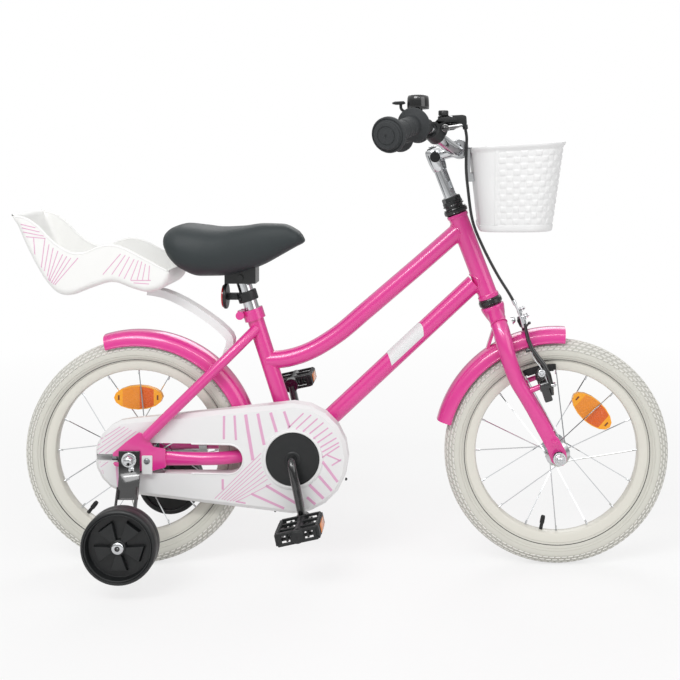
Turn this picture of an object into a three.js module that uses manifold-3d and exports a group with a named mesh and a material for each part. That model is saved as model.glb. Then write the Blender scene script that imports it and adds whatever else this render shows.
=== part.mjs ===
// Child's 16-inch bicycle with stabilisers, chain case, front basket and doll seat.
// Millimetres. +X is forward, +Y is the rider's left and +Z is up.
// The origin is on the ground, midway between the two axles.
import * as THREE from 'three';
import { mergeVertices } from 'three/addons/utils/BufferGeometryUtils.js';
import { ConvexGeometry } from 'three/addons/geometries/ConvexGeometry.js';
import Module from 'manifold-3d';

const wasm = await Module();
wasm.setup();

// Fits shared by all pieces
const seat_gap = 0.3;
const running_gap = 1.2;
const overrun = 4;
const merge_distance = 1e-4;
const straight_limit = 1e-3;

// Wheels
const wheelbase = 732;
const tyre_radius = 196;
const wheel_facets = 32;
const tyre_width = 44;
const bead_radius = 158;
const rim_width = 27;
const rim_depth = 17;
const rim_wall = 3;
const spoke_radius = 1.1;
const spoke_count = 16;
const lacing_angle = Math.PI / 4;
const valve_radius = 3;
const valve_length = 26;
const valve_cap_radius = 4;
const valve_cap_length = 11;
const front_valve_angle = THREE.MathUtils.degToRad(259);
const rear_valve_angle = THREE.MathUtils.degToRad(231);
const axle_radius = 4.8;
const axle_bore_radius = 5.2;
const front_hub_radius = 13;
const front_flange_radius = 22;
const front_flange_offset = 26;
const rear_hub_radius = 21;
const rear_flange_radius = 31;
const rear_flange_offset = 25;
const flange_thickness = 3;
const spoke_circle_inset = 3.5;
const wheel_reflector_length = 85;
const wheel_reflector_height = 42;
const wheel_reflector_thickness = 11;
const wheel_reflector_radius = 93;
const front_reflector_angle = THREE.MathUtils.degToRad(48);
const rear_reflector_angle = THREE.MathUtils.degToRad(90);

// Frame
const bracket_height = 196.7;
const bracket_shell_radius = 28.5;
const bracket_shell_bore = 25.6;
const bracket_shell_width = 68;
const seat_tube_radius = 14.3;
const seat_tube_bore = 13;
const seat_tube_top = { x: -166.7, z: 441.7 };
const down_tube_radius = 15.9;
const top_tube_radius = 15.5;
const tube_wall = 1.8;
const head_tube_radius = 17;
const head_tube_bore = 14;
const head_top = { x: 192.2, z: 610.2 };
const head_bottom = { x: 248.3, z: 463.7 };
const down_tube_head = { x: 234.3, z: 500.3 };
const top_tube_route = [
  { x: 201.3, z: 586.7 }, { x: 134.5, z: 528 }, { x: 82, z: 483 }, { x: 26.9, z: 436 }, { x: -14, z: 401.5 },
  { x: -56.5, z: 374.5 }, { x: -85, z: 362.5 }, { x: -110, z: 356.3 }, { x: -129, z: 354.5 },
];
const chain_stay_radius = 11.1;
const coaster_arm_face = 45.5;
const coaster_arm_thickness = 3;
const coaster_arm_width = 14;
const chain_stay_route = [
  { x: -312, y: 52, z: 195.5 }, { x: -262, y: 52, z: 195.3 }, { x: -216, y: 49, z: 195 },
  { x: -186, y: 37.5, z: 195 }, { x: -154, y: 22.5, z: 195.5 }, { x: -96, y: 20, z: 196.5 },
];
const seat_stay_radius = 9;
const seat_stay_route = [
  { x: -158, y: 9, z: 411 }, { x: -178, y: 24, z: 391 }, { x: -203, y: 38.5, z: 366 },
  { x: -245, y: 50, z: 325 }, { x: -298, y: 59.5, z: 273 }, { x: -338, y: 60, z: 234 },
];
const dropout_inner = 55;
const dropout_thickness = 5;
const stay_bridge_angle = THREE.MathUtils.degToRad(46.5);
const stay_bridge_radius = 8;
const seat_clamp_radius = 18.5;
const seat_clamp_height = 19;
const seat_clamp_drop = 2;
const clamp_bolt_radius = 4;
const clamp_bolt_head_radius = 7.5;
const clamp_bolt_length = 42;
const clamp_ear_length = 13;
const clamp_ear_width = 15;

// Steering and front brake
const steering_top_height = 641.5;
const steerer_radius = 12.7;
const upper_headset_height = 24;
const upper_headset_radius = 21;
const upper_headset_neck_radius = 16;
const lower_headset_height = 13;
const headset_nut_radius = 17;
const headset_nut_height = 8;
const fork_leg_radius = 14.3;
const fork_leg_spread = 43;
const fork_leg_route = [
  { x: 268, z: 402 }, { x: 276, z: 377 }, { x: 293.3, z: 328.2 }, { x: 328.4, z: 266.4 }, { x: 352, z: 224 },
];
const fork_crown_height = 30;
const fork_end_thickness = 6;
const fork_end_width = 26;
const fork_end_inner = 43;
const front_axle_length = 124;
const rear_axle_length = 148;
const axle_nut_radius = 8.5;
const axle_nut_height = 9;
const washer_radius = 11;
const brake_pivot = { x: 342.6, z: 318.5 };
const brake_pivot_radius = 6;
const brake_pivot_length = 20;
const brake_boss_reach = 40;
const brake_pad_radius = 150.5;
const brake_pad_gap = 2;
const brake_pad_length = 46;
const brake_pad_height = 9;
const brake_pad_depth = 10;
const brake_arm_top_height = 116;
const brake_arm_thickness = 7;
const brake_arm_width = 15;
const brake_arm_spread = 40;
const brake_cable_radius = 2.5;
const brake_wire_radius = 0.9;
const brake_cable_route = [
  [207, -88, 744], [206, -87, 718], [206, -83, 690], [209, -77, 658], [218, -66, 600], [234, -61, 560],
  [260, -61, 510], [280, -62, 478], [295, -64, 448], [300, -62, 433],
];

// Mudguards
const guard_wall = 1.8;
const guard_half_width = 27;
const front_guard_radius = 217;
const front_guard_start = THREE.MathUtils.degToRad(86);
const front_guard_end = THREE.MathUtils.degToRad(165);
const rear_guard_radius = 212;
const rear_guard_start = THREE.MathUtils.degToRad(8);
const rear_guard_end = THREE.MathUtils.degToRad(106);
const guard_skirt_depth = 24;
const guard_plate_angle = THREE.MathUtils.degToRad(124);
const guard_plate_width = 18;

// Chain drive
const chain_pitch = 12.7;
const chain_links = 68;
const chainring_teeth = 32;
const sprocket_teeth = 16;
const chain_line = 37.5;
const tooth_plate_thickness = 2.2;
const pin_radius = 2;
const tooth_height = 3.4;
const chain_plate_height = 8.4;
const chain_plate_thickness = 1.5;
const inner_plate_offset = 2.2;
const sprocket_boss_radius = 17;
const chainring_window_radius = 11;
const chainring_window_circle = 42;
const crank_length = 97.3;
const crank_angle = THREE.MathUtils.degToRad(-77.8);
const crank_rod_radius = 8.5;
const crank_shoulder = 76;
const crank_pedal_offset = 84;
const crank_eye_radius = 13;
const crank_eye_width = 15;
const crank_disc_radius = 45.4;
const crank_disc_thickness = 4;
const crank_disc_face = 63;
const bearing_cup_depth = 9;
const pedal_length = 76;
const pedal_width = 74;
const pedal_height = 24;
const pedal_wall = 5;
const pedal_axle_radius = 6;
const pedal_core_radius = 10;
const pedal_tilt = THREE.MathUtils.degToRad(12);

// Chain case
const case_rear_radius = 65;
const case_front_radius = 94;
const case_rear_face = 45;
const case_front_face = 61;
const case_back_face = 32.6;
const case_back_thickness = 2;
const case_wall = 2;
const case_edge_round = 6;
const case_slot_radius = 25.8;
const case_slot_end = -197.6;
const case_back_slot_end = -176;
const case_axle_hole_radius = 29;
const case_disc_opening = 47.2;
const case_lip_radius = 50.5;
const case_lip_height = 2.5;

// Stem, handlebar and controls
const quill_radius = 11.1;
const quill_insert = 95;
const stem_head_radius = 15;
const stem_head_top = 702;
const bar_clamp = { x: 195.7, z: 724.3 };
const bar_clamp_radius = 18;
const bar_clamp_width = 40;
const bar_radius = 11.1;
const bar_steps = 20;
const bar_route = [
  [190, 50, 722], [165, 90, 738], [145, 120, 757], [124, 165, 765], [102, 220, 755], [81, 272, 744.5],
];
const grip_length = 112;
const grip_radius = 15.5;
const grip_flange_radius = 28;
const grip_flange_thickness = 6;
const grip_end_radius = 28;
const grip_end_length = 17;
const grip_ring_count = 3;
const grip_groove_depth = 1.6;
const bell_radius = 18;
const bell_height = 15;
const bell_centre = { y: -136, lift: 41, setback: 19 };
const bell_pin_radius = 1.4;
const bell_lever_length = 26;
const bell_lever_width = 6;
const lever_clamp_y = -108;
const lever_clamp_radius = 16;
const lever_rise = 13.6;
const lever_barrel_length = 22;
const lever_barrel_drop = 6;
const lever_clamp_width = 22;
const lever_blade_length = 96;
const lever_blade_thickness = 7;
const lever_blade_height = 13;
const lever_reach = 52;

// Basket
const basket_rear = 215;
const basket_front = 371;
const basket_bottom_rear = 230;
const basket_bottom_front = 352;
const basket_top_half_width = 118;
const basket_bottom_half_width = 95;
const basket_rim_rear_height = 727;
const basket_rim_front_height = 737;
const basket_bottom_height = 585;
const basket_wall = 3;
const basket_corner_radius = 34;
const basket_rim_overhang = 4;
const basket_rim_height = 9;
const basket_band_height = 9;
const basket_front_ribs = 7;
const basket_side_ribs = 3;
const basket_rib_height = 2.2;
const basket_strap_width = 14;
const basket_hanger_y = 42;

// Seat
const seat_post_radius = 12.7;
const seat_post_top = 517;
const seat_post_insert = 90;
const saddle_width = 152;
const saddle_rear = -315;
const saddle_front = -75;
const saddle_top = 594;
const saddle_base_depth = 505;
const saddle_clamp_half_length = 27;
const saddle_clamp_height = 20;
const saddle_clamp_width = 40;
const rear_reflector_width = 58;
const rear_reflector_height = 40;
const rear_reflector_thickness = 9;

// Doll seat
const doll_half_width = 72;
const doll_wall = 3.5;
const doll_strut_width = 28;
const doll_strut_thickness = 13;
const doll_strut_route = [
  { x: -348, z: 476 }, { x: -320, z: 471 }, { x: -284, z: 455 }, { x: -242, z: 428 }, { x: -214, z: 405 },
  { x: -204, z: 390 }, { x: -208, z: 372 }, { x: -214, z: 355 },
];

// Stabilisers
const stabiliser_outer = 190;
const stabiliser_radius = 60.5;
const stabiliser_width = 34;
const stabiliser_clearance = 30;
const stabiliser_wheel_x = -350;
const stabiliser_bore = 6;
const stabiliser_pin_radius = 5;
const stabiliser_blades = 5;
const bracket_steel = 4;
const bracket_flange = 22;
const bracket_width = 36;
const stabiliser_bolt_radius = 9.5;

// Places that follow from the sizes above
const tau = 2 * Math.PI;
const rear_x = -wheelbase / 2;
const front_x = wheelbase / 2;
const axle_z = tyre_radius;
const ring_radius = chain_pitch / (2 * Math.sin(Math.PI / chainring_teeth));
const sprocket_radius = chain_pitch / (2 * Math.sin(Math.PI / sprocket_teeth));
const drive = chain_centres();
const bracket = { x: rear_x + drive.run_x, z: bracket_height };
const brake_tilt = Math.atan2(head_bottom.x - head_top.x, head_top.z - head_bottom.z);
const brake_offset = (front_x - brake_pivot.x) * Math.cos(brake_tilt) - (brake_pivot.z - axle_z) * Math.sin(brake_tilt);
const brake_rise = (brake_pivot.z - axle_z) * Math.cos(brake_tilt) + (front_x - brake_pivot.x) * Math.sin(brake_tilt);
const head_axis = unit(head_bottom.x - head_top.x, 0, head_bottom.z - head_top.z);
const stay_bridge = around(rear_x, axle_z, rear_guard_radius + seat_gap + stay_bridge_radius, stay_bridge_angle);

// Materials
const colours = {
  pink: [0xdc3c98, 0.35, 0], white: [0xececea, 0.45, 0], tyre: [0xe3e2dd, 0.85, 0], rim: [0xdcdad0, 0.5, 0],
  black: [0x26282a, 0.5, 0], saddle: [0x2c3234, 0.6, 0], amber: [0xee8a18, 0.3, 0], red: [0xc3262c, 0.3, 0],
  chrome: [0xc8cacc, 0.2, 1], steel: [0x8d9092, 0.35, 1],
};

function finish(key) {
  const [color, roughness, metalness] = colours[key];
  return new THREE.MeshStandardMaterial({ color, roughness, metalness });
}

// The distance between chain wheels that takes a whole number of links
function chain_centres() {
  const spread = ring_radius - sprocket_radius;
  const links_at = (distance) => {
    const slope = Math.asin(spread / distance);
    const wraps = (chainring_teeth + sprocket_teeth) / 2 + ((chainring_teeth - sprocket_teeth) * slope) / Math.PI;
    return (2 * distance * Math.cos(slope)) / chain_pitch + wraps;
  };
  let distance = (chain_pitch * (chain_links - (chainring_teeth + sprocket_teeth) / 2)) / 2;
  for (let step = 0; step < 40; step++) {
    distance += ((chain_links - links_at(distance)) * chain_pitch) / 2;
  }
  const rise = bracket_height - axle_z;
  return { distance, slope: Math.asin(spread / distance), run_x: Math.sqrt(distance ** 2 - rise ** 2) };
}

function unit(x, y, z) {
  return new THREE.Vector3(x, y, z).normalize();
}

function point(x, y, z) {
  return new THREE.Vector3(x, y, z);
}

// A point in the side plane at a radius and an angle about a centre
function around(x, z, radius, angle) {
  return { x: x + radius * Math.cos(angle), z: z + radius * Math.sin(angle) };
}

// A point on the steering axis at a height
function on_steering_axis(z) {
  const share = (z - head_top.z) / head_axis.z;
  return point(head_top.x + share * head_axis.x, 0, z);
}

// A closed geometry as a solid that can be joined and cut, with its faces turned outward
function solid_of(geometry) {
  const bare = geometry.clone();
  bare.deleteAttribute('normal');
  bare.deleteAttribute('uv');
  const merged = mergeVertices(bare, merge_distance);
  const places = merged.attributes.position.array;
  const faces = [];
  let volume = 0;
  for (let i = 0; i < merged.index.count; i += 3) {
    const [a, b, c] = [0, 1, 2].map((k) => merged.index.array[i + k]);
    if (a !== b && b !== c && c !== a) {
      faces.push(a, b, c);
      const [p, q, r] = [a, b, c].map((k) => new THREE.Vector3().fromArray(places, 3 * k));
      volume += p.dot(q.cross(r));
    }
  }
  if (volume < 0) {
    faces.reverse();
  }
  const mesh = new wasm.Mesh({
    numProp: 3, vertProperties: new Float32Array(places), triVerts: new Uint32Array(faces),
  });
  return new wasm.Manifold(mesh);
}

function join(first, ...others) {
  return others.reduce((sum, other) => sum.add(other), first);
}

function cut(first, ...tools) {
  return tools.reduce((left, tool) => left.subtract(tool), first);
}

function geometry_of(solid) {
  const { vertProperties, triVerts } = solid.getMesh();
  const geometry = new THREE.BufferGeometry();
  geometry.setAttribute('position', new THREE.BufferAttribute(vertProperties, 3));
  geometry.setIndex(new THREE.BufferAttribute(triVerts, 1));
  return geometry;
}

// One named piece of the bicycle
function piece(name, solid, colour) {
  const geometry = geometry_of(solid);
  geometry.computeVertexNormals();
  const mesh = new THREE.Mesh(geometry, finish(colour));
  mesh.name = name;
  return mesh;
}

// A round bar between two points, tapered if a second radius is given
function bar(from, to, radius, end_radius = radius, sides = 10) {
  const length = from.distanceTo(to);
  const geometry = new THREE.CylinderGeometry(end_radius, radius, length, sides);
  geometry.rotateY(Math.PI / sides);
  geometry.applyQuaternion(new THREE.Quaternion().setFromUnitVectors(point(0, 1, 0), to.clone().sub(from).normalize()));
  const middle = from.clone().add(to).multiplyScalar(0.5);
  geometry.translate(middle.x, middle.y, middle.z);
  return solid_of(geometry);
}

// A bar across the bicycle
function cross_bar(x, z, radius, y_from, y_to, sides = 12) {
  return bar(point(x, y_from, z), point(x, y_to, z), radius, radius, sides);
}

function ring_shape(radius, bore, sides) {
  const shape = new THREE.Shape(circle_points(radius, sides));
  if (bore > 0) {
    shape.holes.push(new THREE.Path(circle_points(bore, sides).reverse()));
  }
  return shape;
}

function circle_points(radius, sides) {
  return Array.from({ length: sides }, (_, i) => {
    const angle = ((i + 1 / 2) * tau) / sides;
    return new THREE.Vector2(radius * Math.cos(angle), radius * Math.sin(angle));
  });
}

// A round tube along a smooth curve, hollow if a bore is given
function tube(points, radius, bore = 0, steps = 7, sides = 8) {
  const curve = points.length === 2
    ? new THREE.LineCurve3(points[0], points[1])
    : new THREE.CatmullRomCurve3(points, false, 'centripetal');
  const count = points.length === 2 ? 1 : steps;
  const shape = ring_shape(radius, bore, sides);
  return solid_of(new THREE.ExtrudeGeometry(shape, { steps: count, bevelEnabled: false, extrudePath: curve }));
}

// A turned body: pairs of radius and distance along an axis
function turned(profile, base, axis, sides = 32) {
  const geometry = new THREE.LatheGeometry(profile.map(([r, h]) => new THREE.Vector2(r, h)), sides);
  geometry.applyQuaternion(new THREE.Quaternion().setFromUnitVectors(point(0, 1, 0), axis));
  geometry.translate(base.x, base.y, base.z);
  return solid_of(geometry);
}

// A turned body whose axis lies across the bicycle; one side plane point is its centre
function turned_across(profile, x, z, sides = 32) {
  const geometry = new THREE.LatheGeometry(profile.map(([r, y]) => new THREE.Vector2(r, y)), sides);
  geometry.translate(x, 0, z);
  return solid_of(geometry);
}

// A side view outline, given as x and z, made solid between two places across the bicycle
function slab(outline, y_from, y_to) {
  const shape = outline instanceof THREE.Shape
    ? outline
    : new THREE.Shape(outline.map(({ x, z }) => new THREE.Vector2(x, z)));
  const geometry = new THREE.ExtrudeGeometry(shape, { depth: Math.abs(y_to - y_from), bevelEnabled: false, steps: 1 });
  geometry.rotateX(Math.PI / 2);
  geometry.translate(0, Math.max(y_from, y_to), 0);
  return solid_of(geometry);
}

function block(x_from, x_to, y_from, y_to, z_from, z_to) {
  const geometry = new THREE.BoxGeometry(Math.abs(x_to - x_from), Math.abs(y_to - y_from), Math.abs(z_to - z_from));
  geometry.translate((x_from + x_to) / 2, (y_from + y_to) / 2, (z_from + z_to) / 2);
  return solid_of(geometry);
}

// The convex body through rings of points
function hull(points) {
  return solid_of(new ConvexGeometry(points));
}

function mirrored(route, side) {
  return route.map(({ x, y, z }) => point(x, side * y, z));
}

function in_plane(route) {
  return route.map(({ x, z }) => point(x, 0, z));
}

// Tyre: a round carcass with a flatter tread, open at the beads
function tyre(x) {
  const half = tyre_width / 2;
  const middle = (tyre_radius + bead_radius) / 2;
  const depth = tyre_radius - bead_radius;
  const carcass = depth / 8;
  const profile = [
    [bead_radius + seat_gap, -rim_width / 2], [middle - depth / 8, -half], [tyre_radius - depth / 7, -half * 0.72],
    [tyre_radius, -half * 0.26], [tyre_radius, half * 0.26], [tyre_radius - depth / 7, half * 0.72],
    [middle - depth / 8, half], [bead_radius + seat_gap, rim_width / 2], [bead_radius + seat_gap, rim_width / 3],
    [tyre_radius - carcass * 1.6, 0], [bead_radius + seat_gap, -rim_width / 3],
  ];
  return turned_across([...profile, profile[0]], x, axle_z, wheel_facets);
}

// Rim: a shallow channel with a valve that points to the hub
function rim(x, valve_angle) {
  const half = rim_width / 2;
  const inner = bead_radius - rim_depth;
  const flat = inner + rim_depth / 4;
  const profile = [
    [bead_radius, -half], [bead_radius, rim_wall - half], [inner + rim_wall, 0], [bead_radius, half - rim_wall],
    [bead_radius, half], [flat, half], [inner, half * 0.45], [inner, -half * 0.45], [flat, -half],
  ];
  const channel = turned_across([...profile, profile[0]], x, axle_z, wheel_facets);
  const seat = around(x, axle_z, inner + rim_wall * 0.7, valve_angle);
  const neck = around(x, axle_z, inner - valve_length + valve_cap_length, valve_angle);
  const end = around(x, axle_z, inner - valve_length, valve_angle);
  const to = ({ x: px, z: pz }) => point(px, 0, pz);
  return join(channel, bar(to(seat), to(neck), valve_radius, valve_radius, 6),
    bar(to(neck), to(end), valve_cap_radius, valve_cap_radius * 0.8, 6));
}

// The two ends of one spoke, which passes inside or outside the flange and crosses its neighbour once
function spoke_ends(x, index, flange_circle, flange_offset) {
  const rim_angle = (index * tau) / spoke_count;
  const side = index % 2 === 0 ? -1 : 1;
  const lead = Math.floor(index / 2) % 2 === 0 ? -1 : 1;
  const hub = around(x, axle_z, flange_circle, rim_angle + lead * lacing_angle);
  const outer = around(x, axle_z, bead_radius - rim_depth - seat_gap, rim_angle);
  return [point(hub.x, side * (flange_offset + lead * spoke_radius * 1.4), hub.z), point(outer.x, 0, outer.z)];
}

function spokes(x, flange_circle, flange_offset, growth = 0) {
  const solids = [];
  for (let index = 0; index < spoke_count; index++) {
    const [hub, outer] = spoke_ends(x, index, flange_circle, flange_offset);
    solids.push(bar(hub, outer, spoke_radius + growth, spoke_radius + growth, growth > 0 ? 5 : 3));
  }
  return join(...solids);
}

// Hub shell with two flanges, laced with all its spokes
function laced_hub(x, shell_radius, flange_radius, flange_offset, ends) {
  const half = flange_thickness / 2;
  const flange = (side) => [
    [shell_radius, side * (flange_offset - half)], [flange_radius, side * (flange_offset - half)],
    [flange_radius, side * (flange_offset + half)],
  ];
  const profile = [
    [axle_bore_radius, ends[0]], [shell_radius * 0.8, ends[0]], ...flange(-1).reverse(), ...flange(1),
    [shell_radius * 0.8, ends[1]], [axle_bore_radius, ends[1]],
  ];
  const shell = turned_across([...profile, profile[0]], x, axle_z, 14);
  return join(shell, spokes(x, flange_radius - spoke_circle_inset, flange_offset));
}

// Oval reflector clipped between the spokes, which pass through grooves in its faces
function wheel_reflector(x, angle, flange_circle, flange_offset) {
  const middle = around(x, axle_z, wheel_reflector_radius, angle);
  const outline = Array.from({ length: 16 }, (_, i) => {
    const turn = (i * tau) / 16;
    const along = (wheel_reflector_length / 2) * Math.cos(turn);
    const across = (wheel_reflector_height / 2) * Math.sin(turn);
    return {
      x: middle.x - along * Math.sin(angle) + across * Math.cos(angle),
      z: middle.z + along * Math.cos(angle) + across * Math.sin(angle),
    };
  });
  const half = wheel_reflector_thickness / 2;
  return cut(slab(outline, -half, half), spokes(x, flange_circle, flange_offset, seat_gap));
}

// Axle with spacers inside the frame and a washer, a nut and a spare end on each side
function axle(x, half_length, seat_offset, spacers) {
  const ends = [-1, 1].map((side) => {
    const at = (y) => side * y;
    return join(
      cross_bar(x, axle_z, washer_radius, at(seat_offset), at(seat_offset + washer_radius / 5), 10),
      cross_bar(x, axle_z, axle_nut_radius, at(seat_offset), at(seat_offset + axle_nut_height), 6),
    );
  });
  const collars = spacers.map(([from, to, radius]) => cross_bar(x, axle_z, radius, from, to, 10));
  return join(cross_bar(x, axle_z, axle_radius, -half_length, half_length, 8), ...ends, ...collars);
}

function front_axle() {
  const hub_end = front_flange_offset + flange_thickness * 4 + seat_gap;
  const inner = fork_end_inner - seat_gap;
  const radius = axle_radius * 1.7;
  return axle(front_x, front_axle_length / 2, fork_end_inner + fork_end_thickness + seat_gap,
    [[hub_end, inner, radius], [-inner, -hub_end, radius]]);
}

function rear_axle() {
  const inner = dropout_inner - seat_gap;
  const radius = axle_radius * 1.8;
  const sprocket_face = chain_line + tooth_plate_thickness / 2 + seat_gap;
  const arm_face = coaster_arm_face + coaster_arm_thickness + seat_gap;
  const seat = dropout_inner + dropout_thickness + bracket_steel + seat_gap * 2;
  return axle(rear_x, rear_axle_length / 2, seat, [[-inner, -sprocket_face, radius], [arm_face, inner, radius]]);
}

// Reaction arm of the back-pedal brake: a cover on the hub's left end and a strap clipped to the chain stay
function coaster_arm() {
  const face = coaster_arm_face;
  const back = face + coaster_arm_thickness;
  const start = rear_flange_offset + flange_thickness + seat_gap;
  const cover = turned_across([
    [axle_bore_radius, start], [rear_hub_radius, start], [rear_hub_radius * 0.85, face], [axle_bore_radius * 2, back],
    [axle_bore_radius, back], [axle_bore_radius, start],
  ], rear_x, axle_z, 14);
  const stay = chain_stay_route[1];
  const top = stay.z - chain_stay_radius - seat_gap;
  const half = coaster_arm_width / 2;
  const strap = slab([
    { x: rear_x, z: axle_z + half }, { x: rear_x - half, z: axle_z }, { x: rear_x + half, z: axle_z - coaster_arm_width },
    { x: rear_x + coaster_arm_width * 2, z: top - coaster_arm_width },
    { x: stay.x + half, z: top - coaster_arm_width }, { x: stay.x + half, z: top },
    { x: rear_x + coaster_arm_width * 2.2, z: top }, { x: rear_x + half, z: axle_z + half * 0.5 },
  ], face, back);
  const clip = bar(point(stay.x - half, stay.y, stay.z), point(stay.x + half, stay.y, stay.z),
    chain_stay_radius + coaster_arm_thickness, chain_stay_radius + coaster_arm_thickness, 12);
  const hole = cross_bar(rear_x, axle_z, axle_bore_radius, 0, back + overrun, 14);
  return cut(join(cover, cut(strap, hole), clip), tube(mirrored(chain_stay_route, 1), chain_stay_radius + seat_gap));
}

function wheel_pieces() {
  const front_circle = front_flange_radius - spoke_circle_inset;
  const rear_circle = rear_flange_radius - spoke_circle_inset;
  const front_end = front_flange_offset + flange_thickness * 4;
  const rear_end = rear_flange_offset + flange_thickness;
  return [
    piece('front_tyre', tyre(front_x), 'tyre'),
    piece('front_rim', rim(front_x, front_valve_angle), 'rim'),
    piece('front_hub_and_spokes', laced_hub(front_x, front_hub_radius, front_flange_radius, front_flange_offset,
      [-front_end, front_end]), 'chrome'),
    piece('front_wheel_reflector', wheel_reflector(front_x, front_reflector_angle, front_circle,
      front_flange_offset), 'amber'),
    piece('rear_tyre', tyre(rear_x), 'tyre'),
    piece('rear_rim', rim(rear_x, rear_valve_angle), 'rim'),
    piece('rear_hub_and_spokes', laced_hub(rear_x, rear_hub_radius, rear_flange_radius, rear_flange_offset,
      [-rear_end, rear_end]), 'chrome'),
    piece('rear_wheel_reflector', wheel_reflector(rear_x, rear_reflector_angle, rear_circle,
      rear_flange_offset), 'amber'),
  ];
}

// Centre lines that several pieces are cut to
const head_bottom_point = on_steering_axis(head_bottom.z);
const head_top_point = on_steering_axis(head_top.z);
const seat_tube_from = point(bracket.x, 0, bracket_height);
const seat_tube_to = point(seat_tube_top.x, 0, seat_tube_top.z);
const seat_axis = seat_tube_to.clone().sub(seat_tube_from).normalize();

function beyond(from, to, extra) {
  return to.clone().add(to.clone().sub(from).normalize().multiplyScalar(extra));
}

// Solid bars along the main tubes, a seat gap larger, that cut the mitres of the tubes that meet them
function mitre_head() {
  return bar(beyond(head_top_point, head_bottom_point, overrun), beyond(head_bottom_point, head_top_point, overrun),
    head_tube_radius + seat_gap, head_tube_radius + seat_gap, 24);
}

function mitre_seat_tube() {
  return bar(seat_tube_from, beyond(seat_tube_from, seat_tube_to, overrun), seat_tube_radius + seat_gap,
    seat_tube_radius + seat_gap, 20);
}

function mitre_bracket() {
  const half = bracket_shell_width / 2 + overrun;
  return cross_bar(bracket.x, bracket_height, bracket_shell_radius + seat_gap, -half, half, 28);
}

function head_tube() {
  const length = head_bottom_point.distanceTo(head_top_point);
  const profile = [
    [head_tube_bore, 0], [head_tube_radius, 0], [head_tube_radius, length], [head_tube_bore, length], [head_tube_bore, 0],
  ];
  return turned(profile, head_top_point, head_axis, 24);
}

function bracket_shell() {
  const half = bracket_shell_width / 2;
  const profile = [
    [bracket_shell_bore, -half], [bracket_shell_radius, -half], [bracket_shell_radius, half],
    [bracket_shell_bore, half], [bracket_shell_bore, -half],
  ];
  return turned_across(profile, bracket.x, bracket_height, 28);
}

function down_tube_line() {
  return [point(bracket.x, 0, bracket_height), point(down_tube_head.x, 0, down_tube_head.z)];
}

function down_tube() {
  const solid = tube(down_tube_line(), down_tube_radius, down_tube_radius - tube_wall, 1, 16);
  return cut(solid, mitre_head(), mitre_bracket(), mitre_seat_tube());
}

function top_tube() {
  const route = in_plane(top_tube_route);
  const down = bar(...down_tube_line(), down_tube_radius + seat_gap, down_tube_radius + seat_gap, 16);
  return cut(tube(route, top_tube_radius, 0, 10, 12), mitre_head(), mitre_seat_tube(), down);
}

// Seat tube brazed to the bracket shell
function seat_tube_and_shell() {
  const within = cross_bar(bracket.x, bracket_height, bracket_shell_bore + tube_wall / 2, -bracket_shell_width,
    bracket_shell_width, 28);
  return join(cut(tube([seat_tube_from, seat_tube_to], seat_tube_radius, seat_tube_bore, 1, 20), within), bracket_shell());
}

function stay_solid(route, radius, side) {
  return tube(mirrored(route, side), radius);
}

// The plate that holds the rear axle, with a slot that is open to the rear
function dropout(side) {
  const stay_low = chain_stay_route[0];
  const reach = chain_stay_radius * 2.6;
  const outline = [
    { x: rear_x - reach, z: axle_z + axle_radius + seat_gap }, { x: rear_x - reach, z: axle_z + reach / 3 },
    { x: rear_x + reach / 2, z: axle_z + reach * 1.55 }, { x: rear_x + reach * 1.15, z: axle_z + reach * 1.05 },
    { x: stay_low.x + reach / 4, z: stay_low.z + chain_stay_radius * 1.2 },
    { x: stay_low.x + reach / 4, z: stay_low.z - chain_stay_radius * 1.2 },
    { x: rear_x + reach * 1.1, z: axle_z - reach * 0.95 }, { x: rear_x - reach, z: axle_z - reach * 0.42 },
    { x: rear_x - reach, z: axle_z - axle_radius - seat_gap }, { x: rear_x + axle_radius, z: axle_z - axle_radius - seat_gap },
    { x: rear_x + axle_radius + seat_gap, z: axle_z }, { x: rear_x + axle_radius, z: axle_z + axle_radius + seat_gap },
  ];
  return slab(outline, side * dropout_inner, side * (dropout_inner + dropout_thickness));
}

function rear_guard_space() {
  const outer = rear_guard_radius + seat_gap;
  const half = guard_half_width + seat_gap;
  return turned_across([[0, -half], [outer, -half], [outer, half], [0, half]], rear_x, axle_z, 32);
}

function chain_stay(side) {
  const tube_solid = stay_solid(chain_stay_route, chain_stay_radius, side);
  return cut(join(tube_solid, dropout(side)), mitre_bracket());
}

function seat_stay(side) {
  const route = mirrored(seat_stay_route, side);
  const plate = slab([
    { x: rear_x - wheelbase, z: axle_z - wheelbase }, { x: rear_x + wheelbase, z: axle_z - wheelbase },
    { x: rear_x + wheelbase, z: axle_z + wheelbase }, { x: rear_x - wheelbase, z: axle_z + wheelbase },
  ], side * (dropout_inner - seat_gap), side * (dropout_inner + dropout_thickness + seat_gap));
  const below = block(rear_x - wheelbase, rear_x + wheelbase, -wheelbase, wheelbase, 0,
    axle_z + chain_stay_radius * 4.2);
  const stay = cut(tube(route, seat_stay_radius), mitre_seat_tube(),
    plate.intersect(below));
  return side < 0 ? stay : join(stay, seat_stay_bridge());
}

// The bridge, brazed to the left seat stay, carries the rear mudguard and the doll seat's strut
function seat_stay_bridge() {
  const half = seat_stay_route[2].y;
  const right = tube(mirrored(seat_stay_route, -1), seat_stay_radius + seat_gap);
  return cut(cross_bar(stay_bridge.x, stay_bridge.z, stay_bridge_radius, -half, half, 12), right);
}

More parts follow.
